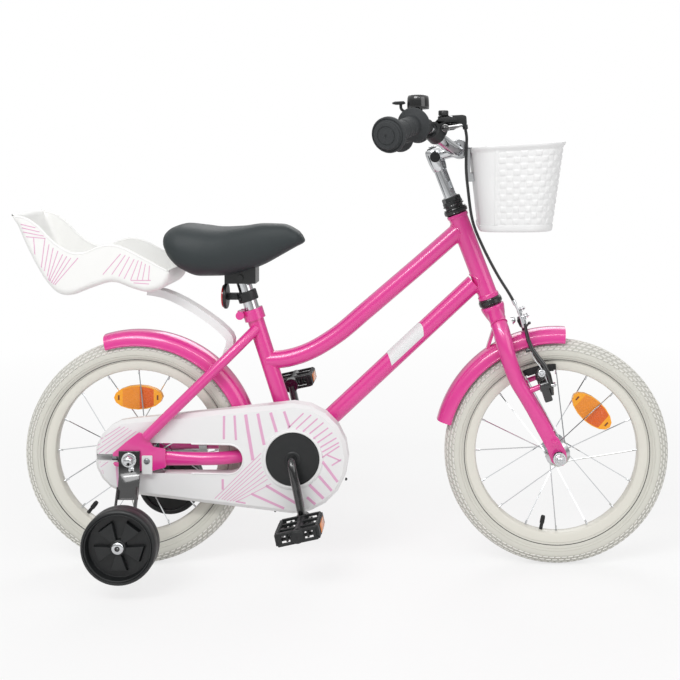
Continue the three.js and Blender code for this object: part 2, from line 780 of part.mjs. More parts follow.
// Split collar that grips the seat post, with its ears and bolt behind the tube
function seat_clamp() {
  const base = beyond(seat_tube_from, seat_tube_to, -seat_clamp_height + seat_clamp_drop);
  const bore = seat_tube_radius + seat_gap;
  const lip = seat_post_radius + seat_gap;
  const profile = [
    [bore, 0], [seat_clamp_radius, 0], [seat_clamp_radius, seat_clamp_height], [lip, seat_clamp_height],
    [lip, seat_clamp_height - seat_clamp_drop + seat_gap], [bore, seat_clamp_height - seat_clamp_drop + seat_gap],
    [bore, 0],
  ];
  const collar = turned(profile, base, seat_axis, 16);
  const middle = base.clone().addScaledVector(seat_axis, seat_clamp_height / 2);
  const back = middle.x - seat_clamp_radius + overrun;
  const ears = block(back - clamp_ear_length, back, -clamp_ear_width / 2, clamp_ear_width / 2,
    middle.z - seat_clamp_height / 3, middle.z + seat_clamp_height / 3);
  const bolt_x = back - clamp_ear_length / 2;
  const half = clamp_bolt_length / 2;
  const head = clamp_bolt_head_radius;
  const bolt = join(cross_bar(bolt_x, middle.z, clamp_bolt_radius, -half, half, 12),
    cross_bar(bolt_x, middle.z, head, -half, -half + head, 12), cross_bar(bolt_x, middle.z, head, half - head, half, 6));
  const space = bar(seat_tube_from, beyond(seat_tube_from, seat_tube_to, wheelbase / 8), bore, bore, 24);
  return join(collar, cut(ears, space), bolt);
}

// Headset races: a stack of spacers and a lock ring above, a single cup below
function upper_headset() {
  const up = head_axis.clone().negate();
  const height = upper_headset_height;
  const bore = steerer_radius + seat_gap;
  const cup = upper_headset_radius;
  const neck = upper_headset_neck_radius;
  const profile = [
    [bore, seat_gap], [head_tube_radius, seat_gap], [cup, height * 0.12], [cup, height * 0.36], [neck, height * 0.46],
    [neck, height * 0.68], [neck * 1.1, height * 0.7], [neck * 1.1, height], [bore, height], [bore, seat_gap],
  ];
  return turned(profile, head_top_point, up, 16);
}

function lower_headset() {
  const height = lower_headset_height;
  const bore = steerer_radius + seat_gap;
  const cup = upper_headset_radius;
  const profile = [
    [bore, seat_gap], [head_tube_radius, seat_gap], [cup, height * 0.3], [cup, height * 0.8], [cup * 0.9, height],
    [bore, height], [bore, seat_gap],
  ];
  return turned(profile, head_bottom_point, head_axis, 16);
}

function bearing_cup(side) {
  const face = bracket_shell_width / 2;
  const profile = [
    [crank_rod_radius + running_gap, face - bearing_cup_depth], [bracket_shell_bore - seat_gap, face - bearing_cup_depth],
    [bracket_shell_bore - seat_gap, face + seat_gap], [bracket_shell_radius, face + seat_gap],
    [bracket_shell_radius, face + bearing_cup_depth / 6], [crank_rod_radius + running_gap, face + bearing_cup_depth / 6],
    [crank_rod_radius + running_gap, face - bearing_cup_depth],
  ].map(([r, y]) => [r, side * y]);
  return turned_across(profile, bracket.x, bracket_height, 16);
}

// Mudguard: a thin arched strip with turned down skirts around part of a wheel
function mudguard(x, radius, from, to, steps) {
  const half = guard_half_width;
  const wall = guard_wall;
  const crown = guard_skirt_depth;
  const outer = [[-half, radius - crown], [-half * 0.86, radius - crown * 0.3], [-half * 0.5, radius - crown * 0.06],
    [0, radius], [half * 0.5, radius - crown * 0.06], [half * 0.86, radius - crown * 0.3], [half, radius - crown]];
  const inner = outer.map(([y, r]) => [y * (1 - wall / half), r - wall]).reverse();
  inner[0] = [half - wall, radius - crown];
  inner[inner.length - 1] = [wall - half, radius - crown];
  const profile = [...outer, ...inner];
  const geometry = new THREE.LatheGeometry([...profile, profile[0]].map(([y, r]) => new THREE.Vector2(r, y)),
    steps * 4);
  geometry.translate(x, 0, axle_z);
  const sector = [{ x, z: axle_z }];
  for (let step = 0; step <= steps; step++) {
    sector.push(around(x, axle_z, radius * 1.3, from + ((to - from) * step) / steps));
  }
  return solid_of(geometry).intersect(slab(sector, -half - overrun, half + overrun));
}

// Places of the chain's pins, one pitch apart around both toothed wheels
function chain_pins() {
  const { distance, slope } = drive;
  const tilt = Math.atan2(bracket_height - axle_z, drive.run_x);
  const run = (distance * Math.cos(slope)) / chain_pitch;
  const ring_wrap = chainring_teeth * (1 / 2 + slope / Math.PI);
  const small_wrap = sprocket_teeth * (1 / 2 - slope / Math.PI);
  const up = Math.PI / 2 + slope + tilt;
  const down = -Math.PI / 2 - slope + tilt;
  const pins = [];
  for (let index = 0; index < chain_links; index++) {
    let along = index + 1 / 2;
    if (along < run) {
      const start = around(rear_x, axle_z, sprocket_radius, up);
      pins.push(around(start.x, start.z, along * chain_pitch, up - Math.PI / 2));
      continue;
    }
    along -= run;
    if (along < ring_wrap) {
      pins.push(around(bracket.x, bracket_height, ring_radius, up - (along * tau) / chainring_teeth));
      continue;
    }
    along -= ring_wrap;
    if (along < run) {
      const start = around(bracket.x, bracket_height, ring_radius, down);
      pins.push(around(start.x, start.z, along * chain_pitch, down - Math.PI / 2));
      continue;
    }
    along -= run;
    pins.push(around(rear_x, axle_z, sprocket_radius, down - (along * tau) / sprocket_teeth));
  }
  return pins;
}

// A roller chain: two closed bands of plates, joined by a pin at every pitch
function chain() {
  const pins = chain_pins();
  const headings = pins.map((pin, index) => {
    const next = pins[(index + 1) % chain_links];
    return Math.atan2(next.z - pin.z, next.x - pin.x);
  });
  const bends = pins.map((pin, index) => {
    const before = headings[(index + chain_links - 1) % chain_links];
    return { pin, before, after: headings[index] };
  }).filter(({ before, after }) => Math.abs(Math.sin(after - before)) > straight_limit);
  const edge = (sign) => bends.map(({ pin, before, after }) => {
    const along = before + Math.asin(Math.sin(after - before)) / 2;
    const place = around(pin.x, pin.z, (sign * chain_plate_height) / 2, along + Math.PI / 2);
    return new THREE.Vector2(place.x, place.z);
  });
  const bands = [-1, 1].map((side) => {
    const shape = new THREE.Shape(edge(1).reverse());
    shape.holes.push(new THREE.Path(edge(-1)));
    return slab(shape, side * inner_plate_offset - chain_line,
      side * (inner_plate_offset + chain_plate_thickness) - chain_line);
  });
  const reach = inner_plate_offset + chain_plate_thickness / 2;
  return join(...bands, ...pins.map((pin) => cross_bar(pin.x, pin.z, pin_radius, -reach - chain_line,
    reach - chain_line, 3)));
}

// A toothed wheel whose gaps hold the chain's pins
function toothed_wheel(x, z, pitch_radius, teeth, first_pin_angle, bore, holes) {
  const step = tau / teeth;
  const root = pitch_radius - pin_radius - seat_gap;
  const outline = [];
  for (let tooth = 0; tooth < teeth; tooth++) {
    const gap = first_pin_angle + tooth * step;
    outline.push(around(x, z, root, gap - step * 0.18), around(x, z, root, gap + step * 0.18),
      around(x, z, pitch_radius + tooth_height, gap + step / 2));
  }
  const shape = new THREE.Shape(outline.map((p) => new THREE.Vector2(p.x, p.z)));
  for (const hole of [{ x, z, radius: bore }, ...holes]) {
    const edge = circle_points(hole.radius, 10).map((p) => new THREE.Vector2(p.x + hole.x, p.y + hole.z));
    shape.holes.push(new THREE.Path(edge.reverse()));
  }
  const half = tooth_plate_thickness / 2;
  return slab(shape, -chain_line - half, -chain_line + half);
}

function pin_angle(x, z, radius) {
  const pin = chain_pins().find((p) => Math.abs(Math.hypot(p.x - x, p.z - z) - radius) < seat_gap / 100);
  return Math.atan2(pin.z - z, pin.x - x);
}

function chainring() {
  const windows = [0, 1, 2, 3, 4].map((i) => ({
    ...around(bracket.x, bracket_height, chainring_window_circle, (i * tau) / 5), radius: chainring_window_radius,
  }));
  const angle = pin_angle(bracket.x, bracket_height, ring_radius);
  return toothed_wheel(bracket.x, bracket_height, ring_radius, chainring_teeth, angle,
    crank_rod_radius + seat_gap * 2, windows);
}

function rear_sprocket() {
  const angle = pin_angle(rear_x, axle_z, sprocket_radius);
  const plate = toothed_wheel(rear_x, axle_z, sprocket_radius, sprocket_teeth, angle, axle_bore_radius, []);
  const inner = rear_flange_offset + flange_thickness + seat_gap;
  const profile = [
    [axle_bore_radius, -inner], [sprocket_boss_radius, -inner], [sprocket_boss_radius, -chain_line],
    [axle_bore_radius, -chain_line], [axle_bore_radius, -inner],
  ];
  return join(plate, turned_across(profile, rear_x, axle_z, 16));
}

// Crank direction in the side plane, for the right arm (1) and the left arm (-1)
function crank_point(share, side) {
  return around(bracket.x, bracket_height, crank_length * share, crank_angle + (side < 0 ? 0 : Math.PI));
}

// One-piece crank: a rod bent from one pedal eye through the bracket to the other
function crank() {
  const spindle = cross_bar(bracket.x, bracket_height, crank_rod_radius, -crank_shoulder, crank_shoulder, 12);
  const arms = [-1, 1].map((side) => {
    const inner = crank_point(0, side);
    const outer = crank_point(1, side);
    const knee = point(inner.x, side * crank_shoulder, inner.z);
    const eye = point(outer.x, side * crank_pedal_offset, outer.z);
    const half = crank_eye_width / 2;
    const boss = cross_bar(outer.x, outer.z, crank_eye_radius, side * (crank_pedal_offset - half),
      side * (crank_pedal_offset + half), 12);
    const pin = cross_bar(outer.x, outer.z, pedal_axle_radius, side * crank_pedal_offset,
      side * (crank_pedal_offset + half + pedal_width * 0.7), 12);
    return join(bar(beyond(eye, knee, crank_rod_radius / 2), eye, crank_rod_radius * 1.1, crank_rod_radius, 10), boss, pin);
  });
  const hold = chain_line + tooth_plate_thickness / 2 + seat_gap;
  const collar = turned_across([
    [0, -hold], [crank_rod_radius * 2, -hold], [crank_rod_radius * 1.6, -crank_disc_face + crank_disc_thickness + seat_gap],
    [0, -crank_disc_face + crank_disc_thickness + seat_gap],
  ], bracket.x, bracket_height, 12);
  return join(spindle, collar, ...arms);
}

// Round cover on the crank, outside the chain case
function crank_disc() {
  const face = crank_disc_face;
  const inner = face - crank_disc_thickness;
  const bore = crank_rod_radius + seat_gap;
  return cut(turned_across([
    [bore, -inner], [crank_disc_radius, -inner], [crank_disc_radius, -inner - crank_disc_thickness / 2],
    [crank_disc_radius * 0.9, -face], [bore, -face], [bore, -inner],
  ], bracket.x, bracket_height, 24));
}

// Pedal: a cage with two cross bars round a barrel, and a reflector front and back
function pedal(side) {
  const centre = crank_point(1, side);
  const inner = crank_pedal_offset + crank_eye_width / 2 + running_gap;
  const outer = inner + pedal_width;
  const half_length = pedal_length / 2;
  const half_height = pedal_height / 2;
  const y = (value) => side * value;
  const frame_box = (grow) => block(centre.x - half_length + grow, centre.x + half_length - grow,
    y(inner + grow), y(outer - grow), centre.z - half_height - overrun * Math.sign(grow),
    centre.z + half_height + overrun * Math.sign(grow));
  const cage = cut(frame_box(0), frame_box(pedal_wall));
  const core = cross_bar(centre.x, centre.z, pedal_core_radius, y(inner), y(outer), 12);
  const rib = (share) => block(centre.x - half_length + pedal_wall / 2, centre.x + half_length - pedal_wall / 2,
    y(inner + pedal_width * share - pedal_wall / 2), y(inner + pedal_width * share + pedal_wall / 2),
    centre.z - half_height * 0.7, centre.z + half_height * 0.7);
  const corner = (sx, sz) => hull([0, 1].flatMap((end) => {
    const across = y(end ? outer + overrun : inner - overrun);
    const edge = pedal_wall * 1.2;
    const cx = centre.x + sx * half_length;
    const cz = centre.z + sz * half_height;
    return [point(cx + sx * overrun, across, cz + sz * overrun), point(cx - sx * edge, across, cz + sz * overrun),
      point(cx + sx * overrun, across, cz - sz * edge)];
  }));
  const bore = cross_bar(centre.x, centre.z, pedal_axle_radius + seat_gap, y(inner - overrun),
    y(inner + pedal_width * 0.8), 16);
  const corners = [[-1, -1], [-1, 1], [1, -1], [1, 1]].map(([sx, sz]) => corner(sx, sz));
  const level = geometry_of(cut(join(cage, core, rib(0.33), rib(0.67)), bore, ...corners));
  level.translate(-centre.x, 0, -centre.z);
  level.rotateY(-pedal_tilt);
  level.translate(centre.x, 0, centre.z);
  return solid_of(level);
}

// A body that tapers between a circle round the rear axle and one round the bracket
function case_body(inset, depth_inset, back) {
  const rings = [
    { x: rear_x, z: axle_z, radius: case_rear_radius, face: case_rear_face },
    { x: bracket.x, z: bracket_height, radius: case_front_radius, face: case_front_face },
  ];
  const points = [];
  for (const { x, z, radius, face } of rings) {
    const outer = face - depth_inset;
    const levels = [[back, 0], [outer - case_edge_round, 0], [outer, case_edge_round]];
    for (const [depth, shrink] of levels) {
      for (let i = 0; i < 20; i++) {
        const edge = around(x, z, radius - inset - shrink, (i * tau) / 20);
        points.push(point(edge.x, -depth, edge.z));
      }
    }
  }
  return hull(points);
}

// A slot with round ends along the chain stay
function stadium(from_x, to_x, z, radius, y_from, y_to) {
  const outline = [];
  for (let i = 0; i <= 6; i++) {
    outline.push(around(to_x, z, radius, -Math.PI / 2 + (i * Math.PI) / 6));
  }
  for (let i = 0; i <= 6; i++) {
    outline.push(around(from_x, z, radius, Math.PI / 2 + (i * Math.PI) / 6));
  }
  return slab(outline, y_from, y_to);
}

// Chain case: an open tray over the drive, with a slot for the chain stay and a round hole for the crank
function chain_case() {
  const shell = cut(case_body(0, 0, case_back_face), case_body(case_wall, case_wall, case_back_face - overrun));
  const deep = case_front_face + overrun;
  const slot = stadium(rear_x, case_slot_end, axle_z, case_slot_radius, -case_back_face + overrun, -deep);
  const sleeve_from = rear_x + case_slot_radius * 2.2;
  const sleeve = cut(
    stadium(sleeve_from, case_slot_end, axle_z, case_slot_radius + case_wall, -case_back_face, -deep),
    block(sleeve_from - wheelbase, sleeve_from, -wheelbase, 0, 0, wheelbase),
  ).intersect(case_body(case_wall / 2, case_wall / 2, case_back_face));
  const hole = cross_bar(bracket.x, bracket_height, case_disc_opening, -case_back_face + overrun, -deep - overrun, 28);
  const lip = turned_across([
    [case_disc_opening, -case_front_face + case_wall], [case_lip_radius + case_lip_height, -case_front_face + case_wall],
    [case_lip_radius, -case_front_face - case_lip_height], [case_disc_opening, -case_front_face - case_lip_height],
    [case_disc_opening, -case_front_face + case_wall],
  ], bracket.x, bracket_height, 28);
  const axle_slit = block(rear_x - wheelbase, rear_x, -deep, -case_back_face - case_wall,
    axle_z - axle_radius - seat_gap * 2, axle_z + axle_radius + seat_gap * 2);
  return cut(join(cut(join(shell, sleeve), slot, hole), lip), axle_slit, chain_stay_space(-1));
}

// Back plate of the chain case, open round the axle, the chain stay and the bracket shell
function chain_case_back() {
  const inner = case_back_face - seat_gap - case_back_thickness;
  const outer = case_back_face - seat_gap;
  const deep = case_front_face + overrun;
  const slice = slab([
    { x: -wheelbase, z: -wheelbase }, { x: wheelbase, z: -wheelbase }, { x: wheelbase, z: wheelbase },
    { x: -wheelbase, z: wheelbase },
  ], -inner, -outer);
  const plate = case_body(0, 0, inner - overrun).intersect(slice);
  const slot = stadium(rear_x, case_back_slot_end, axle_z, case_slot_radius, 0, -deep);
  const axle_hole = cross_bar(rear_x, axle_z, case_axle_hole_radius + case_wall * 2, 0, -deep, 24);
  const shell_hole = cross_bar(bracket.x, bracket_height, bracket_shell_radius + seat_gap, 0, -deep, 28);
  return cut(plate, slot, axle_hole, shell_hole, chain_stay_space(-1));
}

function chain_stay_space(side) {
  return tube(mirrored(chain_stay_route, side), chain_stay_radius + seat_gap);
}

// Handlebar stem: a quill in the steerer, a round head and a clamp for the bar
function stem() {
  const top = on_steering_axis(stem_head_top);
  const low = on_steering_axis(steering_top_height - quill_insert);
  const clamp = point(bar_clamp.x, 0, bar_clamp.z);
  const shaft = bar(low, top, quill_radius, quill_radius, 14);
  const head = turned([
    [0, -stem_head_radius * 0.9], [stem_head_radius * 0.8, -stem_head_radius * 0.7], [stem_head_radius, 0],
    [stem_head_radius, stem_head_radius * 1.2], [quill_radius, stem_head_radius * 2.2], [0, stem_head_radius * 2.2],
  ], top, head_axis, 14);
  const reach = bar(top, clamp, stem_head_radius * 0.9, bar_clamp_radius * 0.8, 10);
  const half = bar_clamp_width / 2;
  const grip = cross_bar(clamp.x, clamp.z, bar_clamp_radius, -half, half, 14);
  return cut(join(shaft, head, reach, grip), tube(bar_line(), bar_radius + seat_gap, 0, bar_steps, 10));
}

// The handlebar's centre line from the middle out to one end
function bar_half(side) {
  const straight = point(bar_clamp.x, side * bar_clamp_width * 0.6, bar_clamp.z);
  return [straight, ...bar_route.map(([x, y, z]) => point(x, side * y, z))];
}

function bar_line() {
  return [...bar_half(1).reverse(), ...bar_half(-1)];
}

function handlebar() {
  return tube(bar_line(), bar_radius, 0, bar_steps, 10);
}

// Grip: a ringed sleeve with a wide inner flange and a stepped end
function grip(side) {
  const end = bar_half(side).at(-1);
  const start = bar_half(side).at(-3);
  const axis = end.clone().sub(start).normalize();
  const base = end.clone().addScaledVector(axis, overrun - grip_length);
  const sleeve_end = grip_length - grip_end_length;
  const profile = [
    [0, 0], [grip_flange_radius * 0.9, 0], [grip_flange_radius, grip_flange_thickness / 2],
    [grip_flange_radius * 0.9, grip_flange_thickness],
  ];
  const pitch = (sleeve_end - grip_flange_thickness) / grip_ring_count;
  for (let ring = 0; ring < grip_ring_count; ring++) {
    const from = grip_flange_thickness + ring * pitch;
    profile.push([grip_radius, from + pitch * 0.15], [grip_radius, from + pitch * 0.75],
      [grip_radius - grip_groove_depth, from + pitch * 0.9]);
  }
  profile.push([grip_end_radius, sleeve_end], [grip_end_radius, sleeve_end + grip_end_length * 0.55],
    [grip_end_radius * 0.8, sleeve_end + grip_end_length * 0.6], [grip_end_radius * 0.8, grip_length * 0.985],
    [grip_end_radius * 0.6, grip_length], [0, grip_length]);
  const bore = tube([...bar_line().slice(0, -1), beyond(start, end, seat_gap)], bar_radius + seat_gap, 0, bar_steps, 10);
  const left_bore = tube(bar_line().map((p) => point(p.x, -p.y, p.z)), bar_radius + seat_gap, 0, bar_steps, 10);
  return cut(turned(profile, base, axis, 12), side < 0 ? bore : left_bore);
}

// Basket wall outline at a height: a rounded rectangle that narrows toward the floor
function basket_ring(share, inset, lift_rear, lift_front) {
  const extent = basket_extent(share);
  const rear = extent.rear + inset;
  const front = extent.front - inset;
  const half = extent.half - inset;
  const corner = basket_corner_radius - inset / 2;
  const points = [];
  const corners = [[front - corner, half - corner, 0], [rear + corner, half - corner, 1],
    [rear + corner, corner - half, 2], [front - corner, corner - half, 3]];
  for (const [x, y, quarter] of corners) {
    for (let i = 0; i <= 3; i++) {
      const angle = ((quarter + i / 3) * Math.PI) / 2;
      const px = x + corner * Math.cos(angle);
      const along = (px - rear) / (front - rear);
      points.push(point(px, y + corner * Math.sin(angle), lift_rear + (lift_front - lift_rear) * along));
    }
  }
  return points;
}

function basket_shape(low_share, low_z, high_share, inset, rise) {
  const span = (share, top) => basket_bottom_height + (top - basket_bottom_height) * share;
  const low = basket_ring(low_share, inset, low_z ?? span(low_share, basket_rim_rear_height),
    low_z ?? span(low_share, basket_rim_front_height));
  const high = basket_ring(high_share, inset, span(high_share, basket_rim_rear_height) + rise,
    span(high_share, basket_rim_front_height) + rise);
  return hull([...low, ...high]);
}

// Basket: a moulded tub with a rolled rim, a foot band and upright ribs
function basket() {
  const tub = basket_shape(0, null, 1, 0, 0);
  const hollow = basket_shape(0, basket_bottom_height + basket_wall, 1, basket_wall, overrun);
  const rim_height = basket_rim_front_height - basket_bottom_height;
  const rim_share = 1 - basket_rim_height / rim_height;
  const rim_band = basket_shape(rim_share, null, 1, -basket_rim_overhang, 0);
  const band_share = basket_band_height / rim_height;
  const foot = basket_shape(0, null, band_share, -basket_rib_height, 0);
  const behind = block(0, basket_rear - seat_gap * 2, -wheelbase, wheelbase, 0, bar_clamp.z * 2);
  return cut(join(tub, rim_band, foot, ...basket_ribs(band_share, rim_share)), hollow, behind);
}

// Upright ribs, evenly spaced on the straight parts of the front and side walls
function basket_ribs(low_share, high_share) {
  const ends = (place) => {
    const levels = [low_share, high_share].map((share) => ({ share, ...basket_extent(share) }));
    return levels.map((level) => {
      const { x, y } = place(level);
      return point(x, y, basket_bottom_height + (basket_rim_rear_height - basket_bottom_height) * level.share);
    });
  };
  const places = [];
  for (let rib = 0; rib < basket_front_ribs; rib++) {
    const share = (rib + 1 / 2) / basket_front_ribs - 1 / 2;
    places.push(({ front, half }) => ({ x: front, y: 2 * share * (half - basket_corner_radius) }));
  }
  for (let rib = 0; rib < basket_side_ribs; rib++) {
    const share = (rib + 1 / 2) / basket_side_ribs;
    for (const side of [-1, 1]) {
      places.push(({ rear, front, half }) => ({
        x: rear + basket_corner_radius + share * (front - rear - 2 * basket_corner_radius), y: side * half,
      }));
    }
  }
  return places.map((place) => bar(...ends(place), basket_rib_height, basket_rib_height, 4));
}

function basket_extent(share) {
  const mix = (low, high) => low + (high - low) * share;
  return {
    rear: mix(basket_bottom_rear, basket_rear), front: mix(basket_bottom_front, basket_front),
    half: mix(basket_bottom_half_width, basket_top_half_width),
  };
}

// Hanger plate that holds the basket to the stem's clamp and bar
function basket_bracket() {
  const rear = basket_rear - seat_gap * 3;
  const half = basket_strap_width / 2;
  const low = bar_clamp.z - basket_strap_width * 3;
  const loops = [-1, 1].map((side) => {
    const y = side * basket_hanger_y;
    const ring = cross_bar(bar_clamp.x - overrun / 2, bar_clamp.z, bar_radius + basket_wall * 1.6, y - half, y + half, 16);
    return join(ring, block(rear - basket_wall * 2, rear, y - half, y + half, low, bar_clamp.z));
  });
  const plate = block(rear - basket_wall * 2, basket_bottom_rear, -basket_hanger_y - half, basket_hanger_y + half,
    low - basket_strap_width, low);
  return cut(join(plate, ...loops), tube(bar_line(), bar_radius + seat_gap, 0, bar_steps, 10), basket_shape(0, null, 1, -seat_gap, 0));
}

// Dome bell on the right side of the bar, with a thumb lever behind it
function bell_place() {
  const middle = bar_half(-1).find((p) => p.y < bell_centre.y + grip_length / 5);
  return point(middle.x - bell_centre.setback, bell_centre.y, middle.z + bell_centre.lift);
}

function bell() {
  const place = bell_place();
  const up = point(0, 0, 1);
  const low = -bell_height * 0.6;
  const pivot = bell_pivot();
  const dome = [[0, low], [bell_radius, low], [bell_radius, 0], [bell_radius * 0.92, bell_height * 0.45],
    [bell_radius * 0.65, bell_height * 0.8], [bell_radius * 0.3, bell_height], [0, bell_height]];
  const foot = bar(point(place.x, place.y, place.z + low), point(place.x + bell_centre.setback, place.y, place.z - bell_centre.lift),
    bell_radius * 0.4, bell_radius * 0.55, 10);
  const band = ring_on_bar(-1, bell_centre.y, bell_radius * 0.8, bar_radius + overrun * 0.6);
  const pin = bar(point(pivot.x, pivot.y, pivot.z - bell_lever_width * 0.7), point(pivot.x, pivot.y, place.z), bell_pin_radius,
    bell_pin_radius, 8);
  return cut(join(turned(dome, place, up, 16), foot, band, pin), tube(bar_line(), bar_radius + seat_gap, 0, bar_steps, 10));
}

function bell_pivot() {
  const place = bell_place();
  return point(place.x - bell_radius * 0.75, place.y, place.z - bell_height * 0.6 - bell_lever_width / 2 - running_gap);
}

// Thumb lever that strikes the bell, turning on the pin under the dome
function bell_lever() {
  const pivot = bell_pivot();
  const half = bell_lever_width / 2;
  const hub = bar(point(pivot.x, pivot.y, pivot.z - half), point(pivot.x, pivot.y, pivot.z + half), half * 1.2, half * 1.2, 10);
  const arm = hull([[pivot.x - half, half], [pivot.x + half, half], [pivot.x - bell_lever_length, half * 0.6]].flatMap(
    ([x, w]) => [-1, 1].flatMap((sy) => [-1, 1].map((sz) => point(x, pivot.y + sy * w, pivot.z + sz * half * 0.5)))));
  const tab = block(pivot.x - bell_lever_length - half, pivot.x - bell_lever_length + half * 0.3, pivot.y - half * 1.4,
    pivot.y + half * 1.4, pivot.z - bell_height * 0.6, pivot.z + bell_height);
  const bore = bar(point(pivot.x, pivot.y, pivot.z - half * 2), point(pivot.x, pivot.y, pivot.z + half * 2),
    bell_pin_radius + seat_gap, bell_pin_radius + seat_gap, 8);
  return cut(join(hub, arm, tab), bore);
}

// A clamp band round the bar at a place across the bicycle
function ring_on_bar(side, y, width, radius) {
  const line = new THREE.CatmullRomCurve3(bar_line(), false, 'centripetal');
  let share = side > 0 ? 0.25 : 0.75;
  for (let step = 0; step < 30; step++) {
    share += (line.getPointAt(share).y - y) / line.getLength() / 2;
  }
  const centre = line.getPointAt(share);
  const along = line.getTangentAt(share).multiplyScalar(width / 2);
  return bar(centre.clone().sub(along), centre.clone().add(along), radius, radius, 12);
}

// Where the brake lever pivots, in front of its clamp on the right side of the bar
function lever_place() {
  const line = new THREE.CatmullRomCurve3(bar_line(), false, 'centripetal');
  const near = line.getPoints(200).reduce((best, p) => (
    Math.abs(p.y - lever_clamp_y) < Math.abs(best.y - lever_clamp_y) ? p : best));
  return { bar: near, pivot: point(near.x + lever_clamp_radius * 1.7, near.y, near.z + lever_rise) };
}

// The bracket's threaded barrel, which points forward and a little down
function lever_barrel() {
  const { pivot } = lever_place();
  const from = point(pivot.x, pivot.y + lever_clamp_width * 0.75, pivot.z);
  return { from, to: point(from.x + lever_barrel_length, from.y, from.z - lever_barrel_drop) };
}

function brake_lever_bracket() {
  const { bar: seat, pivot } = lever_place();
  const half = lever_clamp_width / 2;
  const band = ring_on_bar(-1, lever_clamp_y, lever_clamp_width, lever_clamp_radius);
  const body = block(seat.x + bar_radius * 0.8, pivot.x + lever_blade_height * 0.7, pivot.y - half * 0.2, pivot.y + half * 1.8,
    pivot.z - lever_blade_height * 0.9, pivot.z + lever_blade_height * 0.9);
  const slot = block(pivot.x - lever_blade_height * 0.75, pivot.x + lever_blade_height, pivot.y - half,
    pivot.y + half * 1.2, pivot.z - lever_blade_thickness / 2 - seat_gap, pivot.z + lever_blade_thickness / 2 + seat_gap);
  const { from, to } = lever_barrel();
  const barrel = bar(from, to, lever_blade_thickness * 0.7, lever_blade_thickness * 0.5, 10);
  const pin = bar(point(pivot.x, pivot.y + half * 0.3, pivot.z - lever_blade_height * 0.85),
    point(pivot.x, pivot.y + half * 0.3, pivot.z + lever_blade_height * 0.85), pin_radius, pin_radius, 6);
  return cut(join(cut(join(band, body), slot), pin, barrel), tube(bar_line(), bar_radius + seat_gap, 0, bar_steps, 10));
}

// Brake lever: a curved blade that follows the bar outward at a finger's reach
function lever_route() {
  const { pivot } = lever_place();
  const half = lever_clamp_width / 2;
  const start = point(pivot.x, pivot.y + half * 0.3, pivot.z);
  const length = lever_blade_length;
  return [start, point(pivot.x + lever_reach * 0.25, pivot.y - length * 0.22, pivot.z),
    point(pivot.x + lever_reach * 0.15, pivot.y - length * 0.6, pivot.z - lever_blade_thickness / 2),
    point(pivot.x - lever_reach * 0.19, pivot.y - length, pivot.z - lever_blade_thickness)];
}

function brake_lever() {
  const curve = new THREE.CatmullRomCurve3(lever_route(), false, 'centripetal');
  const half_x = lever_blade_thickness / 2 - seat_gap;
  const half_y = lever_blade_height / 2;
  const points = curve.getPoints(8);
  const solids = [];
  for (let i = 0; i < points.length - 1; i++) {
    const section = (p) => [-1, 1].flatMap((sz) => [-1, 1].map((sx) => (
      point(p.x + sx * half_y, p.y, p.z + sz * half_x))));
    solids.push(hull([...section(points[i]), ...section(points[i + 1])]));
  }
  const start = points[0];
  const knuckle = bar(point(start.x, start.y, start.z - half_x), point(start.x, start.y, start.z + half_x),
    half_y * 1.05, half_y * 1.05, 12);
  const bore = bar(point(start.x, start.y, start.z - half_y * 2), point(start.x, start.y, start.z + half_y * 2),
    pin_radius + seat_gap, pin_radius + seat_gap, 8);
  return cut(join(...solids, knuckle), bore);
}

// Fork: a hollow steerer, a sloping crown and two curved legs with flat ends
function fork() {
  const top = on_steering_axis(steering_top_height);
  const low = on_steering_axis(head_bottom.z - lower_headset_height * 1.6);
  const steerer = bar(low, top, steerer_radius, steerer_radius, 20);
  const bore = bar(on_steering_axis(steering_top_height - quill_insert - overrun), beyond(low, top, overrun),
    quill_radius + seat_gap, quill_radius + seat_gap, 20);
  const crown_top = on_steering_axis(head_bottom.z - lower_headset_height);
  const seat = turned([[0, seat_gap], [upper_headset_radius, seat_gap], [upper_headset_radius, fork_crown_height / 5],
    [steerer_radius * 1.25, fork_crown_height * 0.8], [0, fork_crown_height * 0.8]], crown_top, head_axis, 20);
  const legs = [-1, 1].map((side) => fork_leg(side));
  return cut(join(steerer, seat, ...legs), bore);
}

function fork_leg_line(side) {
  const start = on_steering_axis(head_bottom.z - lower_headset_height - fork_crown_height * 0.5);
  const shoulder = fork_leg_route[0];
  const route = [start, point(shoulder.x - overrun / 2, side * fork_leg_spread * 0.72, shoulder.z + fork_crown_height * 0.45)];
  for (const { x, z } of fork_leg_route.slice(1)) {
    route.push(point(x, side * fork_leg_spread * 1.05, z));
  }
  return route;
}

